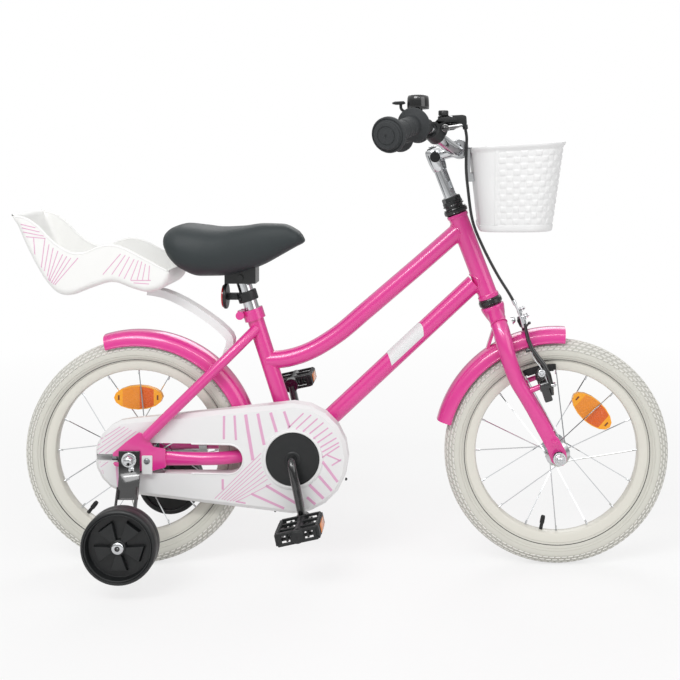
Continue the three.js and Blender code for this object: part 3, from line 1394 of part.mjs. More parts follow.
function fork_leg(side) {
  const route = fork_leg_line(side);
  const end = fork_leg_route.at(-1);
  const half = fork_end_width / 2;
  const tip = slab([
    { x: end.x - half, z: end.z }, { x: end.x + half * 0.8, z: end.z + half * 0.5 },
    { x: front_x + half, z: axle_z + half * 0.3 }, { x: front_x + half * 0.7, z: axle_z - half * 0.8 },
    { x: front_x + axle_radius + seat_gap, z: axle_z - half * 0.9 }, { x: front_x + axle_radius + seat_gap, z: axle_z },
    { x: front_x, z: axle_z + axle_radius + seat_gap }, { x: front_x - axle_radius - seat_gap, z: axle_z },
    { x: front_x - axle_radius - seat_gap, z: axle_z - half * 0.9 }, { x: front_x - half, z: axle_z - half * 0.5 },
  ], side * fork_end_inner, side * (fork_end_inner + fork_end_thickness));
  const boss = bar(point(brake_pivot.x - brake_boss_reach, side * brake_arm_spread, brake_pivot.z - brake_boss_reach * Math.tan(brake_tilt)),
    point(brake_pivot.x + brake_pivot_length / 2, side * brake_arm_spread,
      brake_pivot.z + (brake_pivot_length / 2) * Math.tan(brake_tilt)),
    brake_pivot_radius * 0.8, brake_pivot_radius * 0.8, 10);
  const bore = cross_bar(front_x, axle_z, axle_radius + seat_gap, 0, side * wheelbase / 4, 12);
  return join(cut(join(tube(route, fork_leg_radius, 0, 7, 8), tip), bore), boss);
}

// Front mudguard with the plate that bolts it under the fork's crown
function front_mudguard() {
  const strip = mudguard(front_x, front_guard_radius, front_guard_start, front_guard_end, 9);
  const foot = around(front_x, axle_z, front_guard_radius - guard_wall, guard_plate_angle);
  const crown = on_steering_axis(head_bottom.z - lower_headset_height - fork_crown_height * 0.8);
  const wall = guard_wall * 1.5;
  const plate = slab([
    { x: foot.x - wall, z: foot.z }, { x: foot.x + wall, z: foot.z },
    { x: crown.x + wall, z: crown.z }, { x: crown.x - wall, z: crown.z },
  ], -guard_plate_width / 2, guard_plate_width / 2);
  const legs = [-1, 1].map((side) => tube(fork_leg_line(side), fork_leg_radius + seat_gap, 0, 7, 8));
  return cut(join(strip, plate), ...legs);
}

function rear_mudguard() {
  return mudguard(rear_x, rear_guard_radius, rear_guard_start, rear_guard_end, 10);
}

function headset_nut() {
  const up = head_axis.clone().negate();
  const base = beyond(head_bottom_point, head_top_point, upper_headset_height + seat_gap);
  const bore = bar(on_steering_axis(head_top.z), on_steering_axis(steering_top_height + overrun * 2),
    steerer_radius + seat_gap, steerer_radius + seat_gap, 20);
  const nut = turned([[0, 0], [headset_nut_radius, 0], [headset_nut_radius, headset_nut_height * 0.8],
    [headset_nut_radius * 0.9, headset_nut_height], [0, headset_nut_height]], base, up, 6);
  return cut(nut, bore);
}

// Saddle: lofted rings from the broad tail to the nose, each a crowned arch
function saddle() {
  const stations = [
    { x: 0, half: 0.62, top: 0.8, low: 0.62 }, { x: 0.05, half: 0.84, top: 0.93, low: 0.34 },
    { x: 0.14, half: 0.97, top: 1, low: 0.12 }, { x: 0.26, half: 1, top: 0.97, low: 0 },
    { x: 0.4, half: 0.9, top: 0.93, low: 0 }, { x: 0.55, half: 0.66, top: 0.95, low: 0.06 },
    { x: 0.7, half: 0.46, top: 1, low: 0.2 }, { x: 0.84, half: 0.37, top: 0.99, low: 0.4 },
    { x: 0.95, half: 0.3, top: 0.86, low: 0.56 }, { x: 1, half: 0.16, top: 0.7, low: 0.62 },
  ];
  const rings = stations.map(({ x, half, top, low }) => saddle_ring(x, half * saddle_width / 2, top, low));
  return loft(rings);
}

function saddle_ring(x_share, half, top_share, low_share) {
  const x = saddle_rear + (saddle_front - saddle_rear) * x_share;
  const height = saddle_top - saddle_base_depth;
  const top = saddle_base_depth + height * top_share;
  const low = saddle_base_depth + height * low_share;
  const edge_shares = [[0, 1], [0.35, 0.99], [0.68, 0.93], [0.9, 0.78], [1, 0.52], [0.97, 0.28], [0.8, 0.1], [0.4, 0]];
  const right = edge_shares.map(([y, z]) => point(x, -y * half, low + (top - low) * z));
  const left = edge_shares.slice(1).reverse().map(([y, z]) => point(x, y * half, low + (top - low) * z));
  return [...right, ...left];
}

// A closed skin through rings with equal numbers of points
function loft(rings) {
  const count = rings[0].length;
  const places = rings.flat();
  const faces = [];
  for (let r = 0; r < rings.length - 1; r++) {
    for (let i = 0; i < count; i++) {
      const a = r * count + i;
      const b = r * count + ((i + 1) % count);
      faces.push(a, b, b + count, a, b + count, a + count);
    }
  }
  const centre_of = (ring) => ring.reduce((sum, p) => sum.add(p), point(0, 0, 0)).divideScalar(count);
  places.push(centre_of(rings[0]), centre_of(rings.at(-1)));
  const last = (rings.length - 1) * count;
  for (let i = 0; i < count; i++) {
    const next = (i + 1) % count;
    faces.push(places.length - 2, next, i, places.length - 1, last + i, last + next);
  }
  const geometry = new THREE.BufferGeometry().setFromPoints(places);
  geometry.setIndex(faces);
  return solid_of(geometry);
}

function saddle_space() {
  return saddle_scaled(1 + seat_gap * 2 / saddle_width);
}

function saddle_scaled(scale) {
  const middle = point((saddle_rear + saddle_front) / 2, 0, (saddle_top + saddle_base_depth) / 2);
  const geometry = geometry_of(saddle());
  geometry.translate(-middle.x, 0, -middle.z);
  geometry.scale(scale, scale, scale);
  geometry.translate(middle.x, 0, middle.z);
  return solid_of(geometry);
}

function seat_point(z) {
  const share = (z - bracket_height) / seat_axis.z;
  return point(bracket.x + seat_axis.x * share, 0, z);
}

function seat_post() {
  const low = seat_point(seat_tube_top.z - seat_post_insert);
  return cut(tube([low, seat_point(seat_post_top)], seat_post_radius, seat_post_radius - tube_wall, 1, 16), saddle_space());
}

// Clamp between the seat post and the saddle's underside
function saddle_clamp() {
  const middle = seat_point(saddle_base_depth - saddle_clamp_height / 4);
  const half = saddle_clamp_half_length;
  const deep = saddle_clamp_width / 2;
  const body = block(middle.x - half, middle.x + half, -deep, deep, middle.z - saddle_clamp_height / 2,
    middle.z + saddle_clamp_height);
  const space = bar(seat_tube_from, seat_point(seat_post_top + saddle_clamp_height), seat_post_radius + seat_gap,
    seat_post_radius + seat_gap, 16);
  const bolt = cross_bar(middle.x, middle.z, clamp_bolt_head_radius * 0.8, -deep - clamp_bolt_radius, deep + clamp_bolt_radius, 12);
  return cut(join(body, cut(bolt)), space, saddle_space());
}

// Red reflector behind the seat post, on an arm from a ring round the post
function saddle_reflector() {
  const ring_centre = seat_point(seat_tube_top.z + seat_clamp_height * 1.3);
  const up = seat_axis.clone().multiplyScalar(seat_clamp_height / 3);
  const ring = bar(ring_centre.clone().sub(up), ring_centre.clone().add(up), seat_post_radius + overrun,
    seat_post_radius + overrun, 12);
  const face = ring_centre.x - rear_reflector_height;
  const arm = block(face, ring_centre.x, -rear_reflector_thickness / 2, rear_reflector_thickness / 2,
    ring_centre.z - seat_clamp_height / 5, ring_centre.z + seat_clamp_height / 5);
  const plate = turned([[0, 0], [rear_reflector_width / 2 * 0.8, 0], [rear_reflector_width / 2 * 0.8, rear_reflector_thickness * 0.7],
    [rear_reflector_width / 2 * 0.7, rear_reflector_thickness], [0, rear_reflector_thickness]],
  point(face + rear_reflector_thickness / 2, 0, ring_centre.z), point(-1, 0, 0), 14);
  const space = bar(seat_tube_from, seat_point(seat_post_top), seat_post_radius + seat_gap, seat_post_radius + seat_gap, 16);
  return cut(join(ring, arm, plate), space, saddle_space());
}

// Brake arm: pivots on the fork's boss, holds a rubber block at the rim and takes the wire at its top
function brake_arm(side) {
  const y = side * brake_arm_spread;
  const half = brake_arm_thickness / 2;
  const wide = brake_arm_width / 2;
  const pad_rise = Math.sqrt(brake_pad_radius ** 2 - brake_offset ** 2) - brake_rise;
  const link = (low, high, low_wide, high_wide) => hull([-half, half].flatMap((x) => [
    point(x, y - low_wide, low), point(x, y + low_wide, low), point(x, y - high_wide, high), point(x, y + high_wide, high),
  ]));
  const hub = bar(point(-wide, y, 0), point(wide, y, 0), brake_pivot_radius * 1.5, brake_pivot_radius * 1.5, 10);
  const top = brake_arm_top_height;
  const pad_face = rim_width / 2 + brake_pad_gap;
  const holder = bar(point(0, side * (pad_face + brake_pad_depth / 2), pad_rise), point(0, side * (brake_arm_spread + wide * 1.6), pad_rise),
    brake_pad_height * 0.4, brake_pad_height * 0.4, 6);
  const pad = block(-brake_pad_length / 2, brake_pad_length / 2, side * pad_face, side * (pad_face + brake_pad_depth),
    pad_rise - brake_pad_height / 2, pad_rise + brake_pad_height / 2);
  const bore = bar(point(-wide * 2, y, 0), point(wide * 2, y, 0), brake_pivot_radius * 0.8 + seat_gap,
    brake_pivot_radius * 0.8 + seat_gap, 16);
  const wire_hole = bar(point(0, y - wide * 2, top - wide), point(0, y + wide * 2, top - wide), half * 0.65, half * 0.65, 6);
  return on_brake_axis(cut(join(link(0, top * 0.45, wide, wide * 0.8), link(top * 0.45, top, wide * 0.8, wide * 0.6), hub,
    holder, pad), bore, wire_hole));
}

// Moves a solid from upright axes at the origin to the brake pivot's tilted ones
function on_brake_axis(solid) {
  const geometry = geometry_of(solid);
  geometry.rotateY(-brake_tilt);
  geometry.translate(brake_pivot.x, 0, brake_pivot.z);
  return solid_of(geometry);
}

function brake_wire_place() {
  const up = brake_arm_top_height - brake_arm_width / 2;
  return { x: brake_pivot.x - up * Math.sin(brake_tilt), z: brake_pivot.z + up * Math.cos(brake_tilt) };
}

// Brake cable: the housing from the lever down to the right arm, and the wire across both arms
function brake_cable() {
  const wire = brake_wire_place();
  const { from, to } = lever_barrel();
  const start = beyond(from, to, seat_gap);
  const reach = brake_arm_spread + brake_arm_width * 0.7;
  const last = point(wire.x, -reach - overrun, wire.z);
  const stop = bar(last, point(wire.x, -reach, wire.z), brake_cable_radius * 1.3, brake_cable_radius * 1.3, 8);
  const knot = bar(point(wire.x, reach, wire.z), point(wire.x, reach + overrun, wire.z), brake_cable_radius,
    brake_cable_radius, 8);
  const ahead = beyond(from, to, overrun / 2);
  const route = [start, ahead, ...brake_cable_route.map(([x, y, z]) => point(x, y, z)), last];
  return join(tube(route, brake_cable_radius, 0, 24, 5), stop, knot,
    cross_bar(wire.x, wire.z, brake_wire_radius, -reach, reach, 6));
}

// Doll seat: a shell with a scooped side view and rounded ends
const doll_outer = [
  { x: -562, z: 611 }, { x: -537, z: 553 }, { x: -518, z: 517 }, { x: -500, z: 491 }, { x: -484, z: 478 },
  { x: -464, z: 476 }, { x: -431, z: 488 }, { x: -393, z: 498 }, { x: -360, z: 487 }, { x: -334, z: 481 },
  { x: -311, z: 487 }, { x: -299, z: 499 }, { x: -296, z: 516 },
];
const doll_rim = [
  { x: -562, z: 611 }, { x: -539, z: 606 }, { x: -518, z: 592 }, { x: -498, z: 571 }, { x: -479, z: 556 },
  { x: -457, z: 547 }, { x: -436, z: 549 }, { x: -418, z: 557 }, { x: -399, z: 561 }, { x: -377, z: 557 },
  { x: -345, z: 541 }, { x: -316, z: 526 }, { x: -296, z: 516 },
];

function doll_seat() {
  const outline = (inset) => {
    const low = doll_outer.map(({ x, z }) => ({ x, z: z + inset }));
    return [...low, ...doll_rim.slice(1, -1).reverse()];
  };
  const half = doll_half_width;
  const body = slab(outline(0), -half, half);
  const scoop_points = doll_outer.slice(1).map(({ x, z }) => ({ x: x + doll_wall * 0.5, z: z + doll_wall }));
  scoop_points.at(-1).x -= doll_wall;
  scoop_points.push({ x: doll_rim.at(-1).x - doll_wall / 2, z: doll_outer[0].z + overrun * 2 });
  scoop_points.push({ x: doll_outer[0].x + doll_wall * 2, z: doll_outer[0].z + overrun * 2 });
  const scoop = slab(scoop_points, doll_wall - half, half - doll_wall);
  return cut(body, scoop);
}

function doll_strut() {
  const outline = [];
  const route = new THREE.SplineCurve(doll_strut_route.map(({ x, z }) => new THREE.Vector2(x, z)));
  const count = 14;
  const half = doll_strut_thickness / 2;
  const sides = [1, -1].map((sign) => Array.from({ length: count + 1 }, (_, i) => {
    const p = route.getPoint(i / count);
    const t = route.getTangent(i / count);
    return { x: p.x - sign * half * t.y, z: p.y + sign * half * t.x };
  }));
  outline.push(...sides[0], ...sides[1].reverse());
  const arm = slab(outline, -doll_strut_width / 2, doll_strut_width / 2);
  const bridge = cross_bar(stay_bridge.x, stay_bridge.z, stay_bridge_radius + seat_gap, -doll_half_width, doll_half_width, 16);
  const bolt = cross_bar(doll_strut_route.at(-2).x, doll_strut_route.at(-2).z, clamp_bolt_radius * 1.3,
    -doll_strut_width * 0.6, doll_strut_width * 0.6, 12);
  return cut(join(arm, bolt), doll_space(), bridge, rear_guard_space());
}

function doll_space() {
  const low = doll_outer.map(({ x, z }) => ({ x, z: z - seat_gap }));
  const lift = doll_outer[0].z + overrun;
  return slab([...low, { x: doll_outer.at(-1).x, z: lift }, { x: doll_outer[0].x, z: lift }],
    -doll_half_width - overrun, doll_half_width + overrun);
}

// Stabiliser: a folded steel arm from the rear axle out to the small wheel's bolt
function stabiliser_z() {
  return stabiliser_clearance + stabiliser_radius;
}

function stabiliser_bracket(side) {
  const y = (value) => side * value;
  const seat = dropout_inner + dropout_thickness + seat_gap;
  const half = bracket_width / 2;
  const wheel_inner = stabiliser_outer - stabiliser_width;
  const low = stabiliser_z();
  const plate_out = seat + bracket_steel;
  const foot_y = wheel_inner - running_gap * 4;
  const upper = slab([
    { x: rear_x - half, z: axle_z + half * 1.3 }, { x: rear_x + half, z: axle_z + half * 1.3 },
    { x: rear_x + half, z: axle_z - half }, { x: rear_x - half, z: axle_z - half },
  ], y(seat), y(plate_out));
  const x0 = stabiliser_wheel_x - half;
  const web = hull([
    ...[rear_x - half, rear_x + half].flatMap((x) => [point(x, y(seat), axle_z - half), point(x, y(plate_out), axle_z - half)]),
    ...[x0, x0 + bracket_width].flatMap((x) => [point(x, y(foot_y - bracket_steel), low + half * 1.6),
      point(x, y(foot_y), low + half * 1.6)]),
  ]);
  const foot = slab([
    { x: x0, z: low + half * 1.6 }, { x: x0 + bracket_width, z: low + half * 1.6 },
    { x: x0 + bracket_width, z: low - half * 0.8 }, { x: x0, z: low - half * 0.8 },
  ], y(foot_y - bracket_steel), y(foot_y));
  const rib = hull([
    ...[rear_x + half - bracket_steel, rear_x + half].flatMap((x) => [point(x, y(plate_out), axle_z + half),
      point(x, y(seat), axle_z + half), point(x, y(seat), axle_z - half), point(x, y(plate_out + bracket_flange), axle_z - half)]),
    ...[x0 + bracket_width - bracket_steel, x0 + bracket_width].flatMap((x) => [
      point(x, y(foot_y), low), point(x, y(foot_y - bracket_steel), low), point(x, y(foot_y), low + bracket_flange * 2)]),
  ]);
  const hole = cross_bar(rear_x, axle_z, axle_radius + seat_gap, y(seat - overrun), y(plate_out + overrun), 12);
  const pin = cross_bar(stabiliser_wheel_x, low, stabiliser_pin_radius, y(foot_y - overrun), y(stabiliser_outer + overrun), 12);
  const head = turned_across([[0, stabiliser_outer + running_gap], [stabiliser_bolt_radius, stabiliser_outer + running_gap],
    [stabiliser_bolt_radius, stabiliser_outer + overrun], [stabiliser_bolt_radius * 0.6, stabiliser_outer + overrun * 1.8],
    [0, stabiliser_outer + overrun * 2]].map(([r, v]) => [r, y(v)]), stabiliser_wheel_x, low, 16);
  return join(cut(join(upper, web, foot, rib), hole), pin, head);
}

// Stabiliser wheel: a rubber ring on a dished disc with wedge blades
function stabiliser_wheel(side) {
  const out = stabiliser_outer;
  const inner = out - stabiliser_width;
  const r = stabiliser_radius;
  const bore = stabiliser_bore;
  const web = out - stabiliser_width * 0.45;
  const profile = [
    [bore, inner], [bore * 2.2, inner], [bore * 2.2, web - overrun], [r * 0.78, web - overrun], [r * 0.84, inner + overrun],
    [r, inner + overrun], [r, out - overrun], [r * 0.95, out], [r * 0.86, out], [r * 0.78, web], [bore * 2.2, web],
    [bore * 2, out], [bore, out],
  ];
  const disc = turned_across([...profile, profile[0]].map(([a, b]) => [a, side * b]), stabiliser_wheel_x, stabiliser_z(), 20);
  const blades = [];
  for (let blade = 0; blade < stabiliser_blades; blade++) {
    const angle = -Math.PI / 2 + (blade * tau) / stabiliser_blades;
    const z = stabiliser_z();
    const face = side * (out - overrun);
    const back = side * (out - stabiliser_width * 0.45);
    blades.push(hull([
      ...[-0.16, 0.16].flatMap((turn) => [face, back].map((y) => {
        const p = around(stabiliser_wheel_x, z, r * 0.78, angle + turn * 1.5);
        return point(p.x, y, p.z);
      })),
      ...[-0.2, 0.2].flatMap((turn) => [back, side * (out - stabiliser_width * 0.25)].map((y) => {
        const p = around(stabiliser_wheel_x, z, bore * 2.3, angle + turn);
        return point(p.x, y, p.z);
      })),
    ]));
  }
  return join(disc, ...blades);
}

const object = new THREE.Group();
const both = { right: -1, left: 1 };

object.add(
  piece('head_tube', head_tube(), 'pink'),
  piece('down_tube', down_tube(), 'pink'),
  piece('top_tube', top_tube(), 'pink'),
  piece('seat_tube_and_shell', seat_tube_and_shell(), 'pink'),
  piece('seat_clamp', seat_clamp(), 'pink'),
  piece('upper_headset', upper_headset(), 'black'),
  piece('lower_headset', lower_headset(), 'black'),
  piece('rear_mudguard', rear_mudguard(), 'pink'),
  piece('chain_case', chain_case(), 'white'),
  piece('chain_case_back', chain_case_back(), 'white'),
  piece('chain', chain(), 'steel'),
  piece('rear_axle', rear_axle(), 'chrome'),
  piece('coaster_brake_arm', coaster_arm(), 'chrome'),
  piece('doll_seat', doll_seat(), 'white'),
  piece('doll_seat_strut', doll_strut(), 'white'),
  piece('fork', fork(), 'pink'),
  piece('front_mudguard', front_mudguard(), 'pink'),
  piece('front_axle', front_axle(), 'chrome'),
  piece('headset_nut', headset_nut(), 'black'),
  piece('brake_cable', brake_cable(), 'black'),
  piece('stem', stem(), 'chrome'),
  piece('handlebar', handlebar(), 'chrome'),
  piece('brake_lever_bracket', brake_lever_bracket(), 'black'),
  piece('brake_lever', brake_lever(), 'black'),
  piece('bell', bell(), 'black'),
  piece('bell_lever', bell_lever(), 'black'),
  piece('basket', basket(), 'white'),
  piece('basket_bracket', basket_bracket(), 'chrome'),
  piece('crank', crank(), 'black'),
  piece('crank_disc', crank_disc(), 'black'),
  piece('chainring', chainring(), 'steel'),
  piece('rear_sprocket', rear_sprocket(), 'steel'),
  piece('seat_post', seat_post(), 'chrome'),
  piece('saddle', saddle(), 'saddle'),
  piece('saddle_clamp', saddle_clamp(), 'black'),
  piece('saddle_reflector', saddle_reflector(), 'red'),
  ...wheel_pieces(),
);

for (const [name, side] of Object.entries(both)) {
  object.add(
    piece(`chain_stay_${name}`, chain_stay(side), 'pink'),
    piece(`seat_stay_${name}`, seat_stay(side), 'pink'),
    piece(`bearing_cup_${name}`, bearing_cup(side), 'steel'),
    piece(`brake_arm_${name}`, brake_arm(side), 'black'),
    piece(`grip_${name}`, grip(side), 'black'),
    piece(`pedal_${name}`, pedal(side), 'black'),
    piece(`stabiliser_bracket_${name}`, stabiliser_bracket(side), 'black'),
    piece(`stabiliser_wheel_${name}`, stabiliser_wheel(side), 'black'),
  );
}

export default object;
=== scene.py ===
import math
import bmesh
import bpy
import numpy as np
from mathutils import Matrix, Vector
from mathutils.bvhtree import BVHTree


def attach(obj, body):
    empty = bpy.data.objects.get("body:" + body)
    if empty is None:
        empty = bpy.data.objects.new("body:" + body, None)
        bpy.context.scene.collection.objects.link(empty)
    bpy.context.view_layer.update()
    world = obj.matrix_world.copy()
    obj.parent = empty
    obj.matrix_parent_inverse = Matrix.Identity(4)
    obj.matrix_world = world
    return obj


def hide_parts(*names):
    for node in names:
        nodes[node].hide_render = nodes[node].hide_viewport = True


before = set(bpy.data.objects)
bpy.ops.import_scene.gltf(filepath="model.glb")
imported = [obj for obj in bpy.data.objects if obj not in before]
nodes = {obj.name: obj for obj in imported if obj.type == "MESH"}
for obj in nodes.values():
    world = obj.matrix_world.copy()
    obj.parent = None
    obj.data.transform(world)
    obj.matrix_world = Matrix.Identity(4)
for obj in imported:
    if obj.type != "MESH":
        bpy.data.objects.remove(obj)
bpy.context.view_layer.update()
MM = 0.001
scene = bpy.context.scene

# Materials


def srgb(hex_colour):
    values = [int(hex_colour[i:i + 2], 16) / 255 for i in (0, 2, 4)]
    return [v / 12.92 if v <= 0.04045 else ((v + 0.055) / 1.055) ** 2.4 for v in values] + [1.0]


def material(name, colour, rough=0.5, metal=0.0, coat=0.0, ior=1.5, speck=0.0, bump=0.0, bump_scale=400.0,
             stretch=(1, 1, 1)):
    m = bpy.data.materials.new(name)
    m.use_nodes = True
    tree = m.node_tree
    shader = tree.nodes["Principled BSDF"]
    shader.inputs["Base Color"].default_value = srgb(colour)
    shader.inputs["Roughness"].default_value = rough
    shader.inputs["Metallic"].default_value = metal
    shader.inputs["Coat Weight"].default_value = coat
    shader.inputs["Coat Roughness"].default_value = 0.08
    shader.inputs["IOR"].default_value = ior
    place = tree.nodes.new("ShaderNodeTexCoord")
    mapping = tree.nodes.new("ShaderNodeMapping")
    mapping.inputs["Scale"].default_value = stretch
    tree.links.new(place.outputs["Object"], mapping.inputs["Vector"])
    if speck:
        noise = tree.nodes.new("ShaderNodeTexNoise")
        noise.inputs["Scale"].default_value = 35
        noise.inputs["Detail"].default_value = 4
        mix = tree.nodes.new("ShaderNodeMix")
        mix.data_type = "RGBA"
        base = srgb(colour)
        mix.inputs["A"].default_value = [c * (1 - speck) for c in base[:3]] + [1]
        mix.inputs["B"].default_value = [min(1, c * (1 + speck)) for c in base[:3]] + [1]
        tree.links.new(mapping.outputs["Vector"], noise.inputs["Vector"])
        tree.links.new(noise.outputs["Fac"], mix.inputs["Factor"])
        tree.links.new(mix.outputs["Result"], shader.inputs["Base Color"])
    if bump:
        grain = tree.nodes.new("ShaderNodeTexNoise")
        grain.inputs["Scale"].default_value = bump_scale
        grain.inputs["Detail"].default_value = 3
        lift = tree.nodes.new("ShaderNodeBump")
        lift.inputs["Strength"].default_value = bump
        lift.inputs["Distance"].default_value = 0.001
        tree.links.new(mapping.outputs["Vector"], grain.inputs["Vector"])
        tree.links.new(grain.outputs["Fac"], lift.inputs["Height"])
        tree.links.new(lift.outputs["Normal"], shader.inputs["Normal"])
    return m


MATS = {
    "pink": material("pink_paint", "DB3390", 0.3, coat=1.0, speck=0.03),
    "white": material("white_plastic", "E6E6E6", 0.38, coat=0.15, speck=0.01, bump=0.04, bump_scale=300),
    "tyre": material("cream_tyre", "D0CFC6", 0.75, speck=0.03, bump=0.12, bump_scale=700),
    # tread_lit: the tyre's cream rubber painted lighter on the tread blocks, a painted highlight on their
    # tops
    "tread_lit": material("tread_painted_highlight", "E2E1DB", 0.8, speck=0.03),
    # groove: the tyre's cream rubber painted darker, painted shade in the grooves between the tread blocks
    "groove": material("groove_painted_shade", "BDBCB5", 0.85, speck=0.05),
    "rim": material("cream_rim", "DCDAD0", 0.4, coat=0.2, speck=0.01),
    "black": material("black_plastic", "17191A", 0.4, speck=0.1, bump=0.15, bump_scale=900),
    "black_steel": material("black_steel", "141617", 0.3, coat=0.3, speck=0.05),
    "saddle": material("saddle_cover", "232B2D", 0.5, speck=0.08, bump=0.45, bump_scale=1400),
    "amber": material("amber_reflector", "EC8408", 0.2, coat=0.3, speck=0.06),
    "red": material("red_reflector", "C4242C", 0.15, coat=0.8, speck=0.06),
    "chrome": material("chrome_plate", "D4D6D8", 0.12, metal=1.0, speck=0.01),
    "steel": material("bare_steel", "8C8F92", 0.35, metal=1.0, speck=0.05),
    "black_gloss": material("black_gloss", "0E0F10", 0.14, coat=1.0, speck=0.03),
    "doll": material("doll_seat_plastic", "EFEFED", 0.35, coat=0.2, speck=0.01, bump=0.03, bump_scale=300),
    "grip": material("grip_rubber", "2A2D2F", 0.62, speck=0.12, bump=0.6, bump_scale=1100),
    "stripe": material("pale_pink_stripe", "DDA6C6", 0.38, coat=0.15, speck=0.02),
    "bare_white": material("blank_panel", "DFE0E0", 0.45, speck=0.01),
    "cable": material("cable_cover", "181A1B", 0.35, coat=0.2, speck=0.05),
    "rubber": material("black_rubber", "141516", 0.7, speck=0.08, bump=0.2, bump_scale=900),
}

NODE_LOOK = {"head_tube": "pink", "down_tube": "pink", "top_tube": "pink", "seat_tube_and_shell": "pink",
             "seat_clamp": "pink", "chain_stay_right": "pink", "chain_stay_left": "pink",
             "seat_stay_right": "pink", "seat_stay_left": "pink", "fork": "pink", "rear_mudguard": "pink",
             "front_mudguard": "pink", "chain_case": "white", "chain_case_back": "white",
             "doll_seat": "white", "doll_seat_strut": "white", "basket": "white", "front_tyre": "tyre",
             "rear_tyre": "tyre", "front_rim": "rim", "rear_rim": "rim", "brake_lever_bracket": "black",
             "brake_lever": "black", "bell_lever": "black", "basket_bracket": "chrome",
             "crank_disc": "black", "saddle_clamp": "black_steel", "pedal_right": "black",
             "pedal_left": "black", "brake_arm_right": "black", "brake_arm_left": "black",
             "upper_headset": "black_steel", "lower_headset": "black_steel", "headset_nut": "black_steel",
             "stabiliser_bracket_right": "black_steel", "stabiliser_bracket_left": "black_steel",
             "saddle": "saddle", "front_wheel_reflector": "amber", "rear_wheel_reflector": "amber",
             "saddle_reflector": "red", "front_axle": "chrome", "rear_axle": "chrome",
             "coaster_brake_arm": "chrome", "stem": "chrome", "handlebar": "chrome", "bell": "black_gloss",
             "crank": "black_steel", "seat_post": "chrome", "front_hub_and_spokes": "chrome",
             "rear_hub_and_spokes": "chrome", "chain": "steel", "chainring": "steel",
             "rear_sprocket": "steel", "bearing_cup_right": "steel", "bearing_cup_left": "steel",
             "grip_right": "rubber", "grip_left": "rubber", "stabiliser_wheel_right": "rubber",
             "stabiliser_wheel_left": "rubber", "brake_cable": "cable",}


def dress(obj, look):
    obj.data.materials.clear()
    obj.data.materials.append(MATS[look])


def soften(obj, angle=32, bevel=0.0):
    """Smooth shading that keeps hard edges, on welded corners, with an optional small round on the edges."""
    mesh = obj.data
    if "custom_normal" in mesh.attributes:
        mesh.attributes.remove(mesh.attributes["custom_normal"])
    mesh.polygons.foreach_set("use_smooth", [True] * len(mesh.polygons))
    weld = obj.modifiers.new("weld", "WELD")
    weld.merge_threshold = 0.00002
    if bevel:
        edge = obj.modifiers.new("edges", "BEVEL")
        edge.width = bevel
        edge.segments = 2
        edge.limit_method = "ANGLE"
        edge.angle_limit = math.radians(40)
    split = obj.modifiers.new("split", "EDGE_SPLIT")
    split.split_angle = math.radians(angle)
    split.use_edge_sharp = False


for name, look in NODE_LOOK.items():
    dress(nodes[name], look)
    soften(nodes[name])

# Shapes


def make(name, verts, faces, body, look, replaces=(), smooth=True, angle=35, bevel=0.0):
    """A mesh piece from points in millimetres that rides on a CAD body."""
    mesh = bpy.data.meshes.new(name)
    mesh.from_pydata([tuple(c * MM for c in v) for v in verts], [],
                     [tuple(int(i) for i in f) for f in faces])
    mesh.validate()
    shell = bmesh.new()
    shell.from_mesh(mesh)
    bmesh.ops.recalc_face_normals(shell, faces=shell.faces)
    shell.to_mesh(mesh)
    shell.free()
    mesh.update()
    obj = bpy.data.objects.new(name, mesh)
    scene.collection.objects.link(obj)
    if bevel:
        edge = obj.modifiers.new("edges", "BEVEL")
        edge.width = bevel * MM
        edge.segments = 3
        edge.limit_method = "ANGLE"
        edge.angle_limit = math.radians(38)
    if smooth:
        mesh.polygons.foreach_set("use_smooth", [True] * len(mesh.polygons))
        split = obj.modifiers.new("split", "EDGE_SPLIT")
        split.split_angle = math.radians(angle)
        split.use_edge_sharp = False
    dress(obj, look)
    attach(obj, body)
    if replaces:
        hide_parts(*replaces)
    return obj


def catmull(points, steps):
    """Centripetal Catmull-Rom curve through the points, evenly spaced along its length."""
    p = np.array(points, float)
    ends = np.vstack([2 * p[0] - p[1], p, 2 * p[-1] - p[-2]])
    fine = []
    for i in range(1, len(ends) - 2):
        a, b, c, d = ends[i - 1:i + 3]
        t0, t1 = 0.0, max(np.linalg.norm(b - a), 1e-6) ** 0.5
        t2 = t1 + max(np.linalg.norm(c - b), 1e-6) ** 0.5
        t3 = t2 + max(np.linalg.norm(d - c), 1e-6) ** 0.5
        for t in np.linspace(t1, t2, 24, endpoint=i == len(ends) - 3):
            a1 = (t1 - t) / (t1 - t0) * a + (t - t0) / (t1 - t0) * b
            a2 = (t2 - t) / (t2 - t1) * b + (t - t1) / (t2 - t1) * c
            a3 = (t3 - t) / (t3 - t2) * c + (t - t2) / (t3 - t2) * d
            b1 = (t2 - t) / (t2 - t0) * a1 + (t - t0) / (t2 - t0) * a2
            b2 = (t3 - t) / (t3 - t1) * a2 + (t - t1) / (t3 - t1) * a3
            fine.append((t2 - t) / (t2 - t1) * b1 + (t - t1) / (t2 - t1) * b2)
    fine = np.array(fine)
    along = np.concatenate([[0], np.cumsum(np.linalg.norm(np.diff(fine, axis=0), axis=1))])
    want = np.linspace(0, along[-1], steps + 1)
    return np.stack([np.interp(want, along, fine[:, k]) for k in range(3)], axis=1)


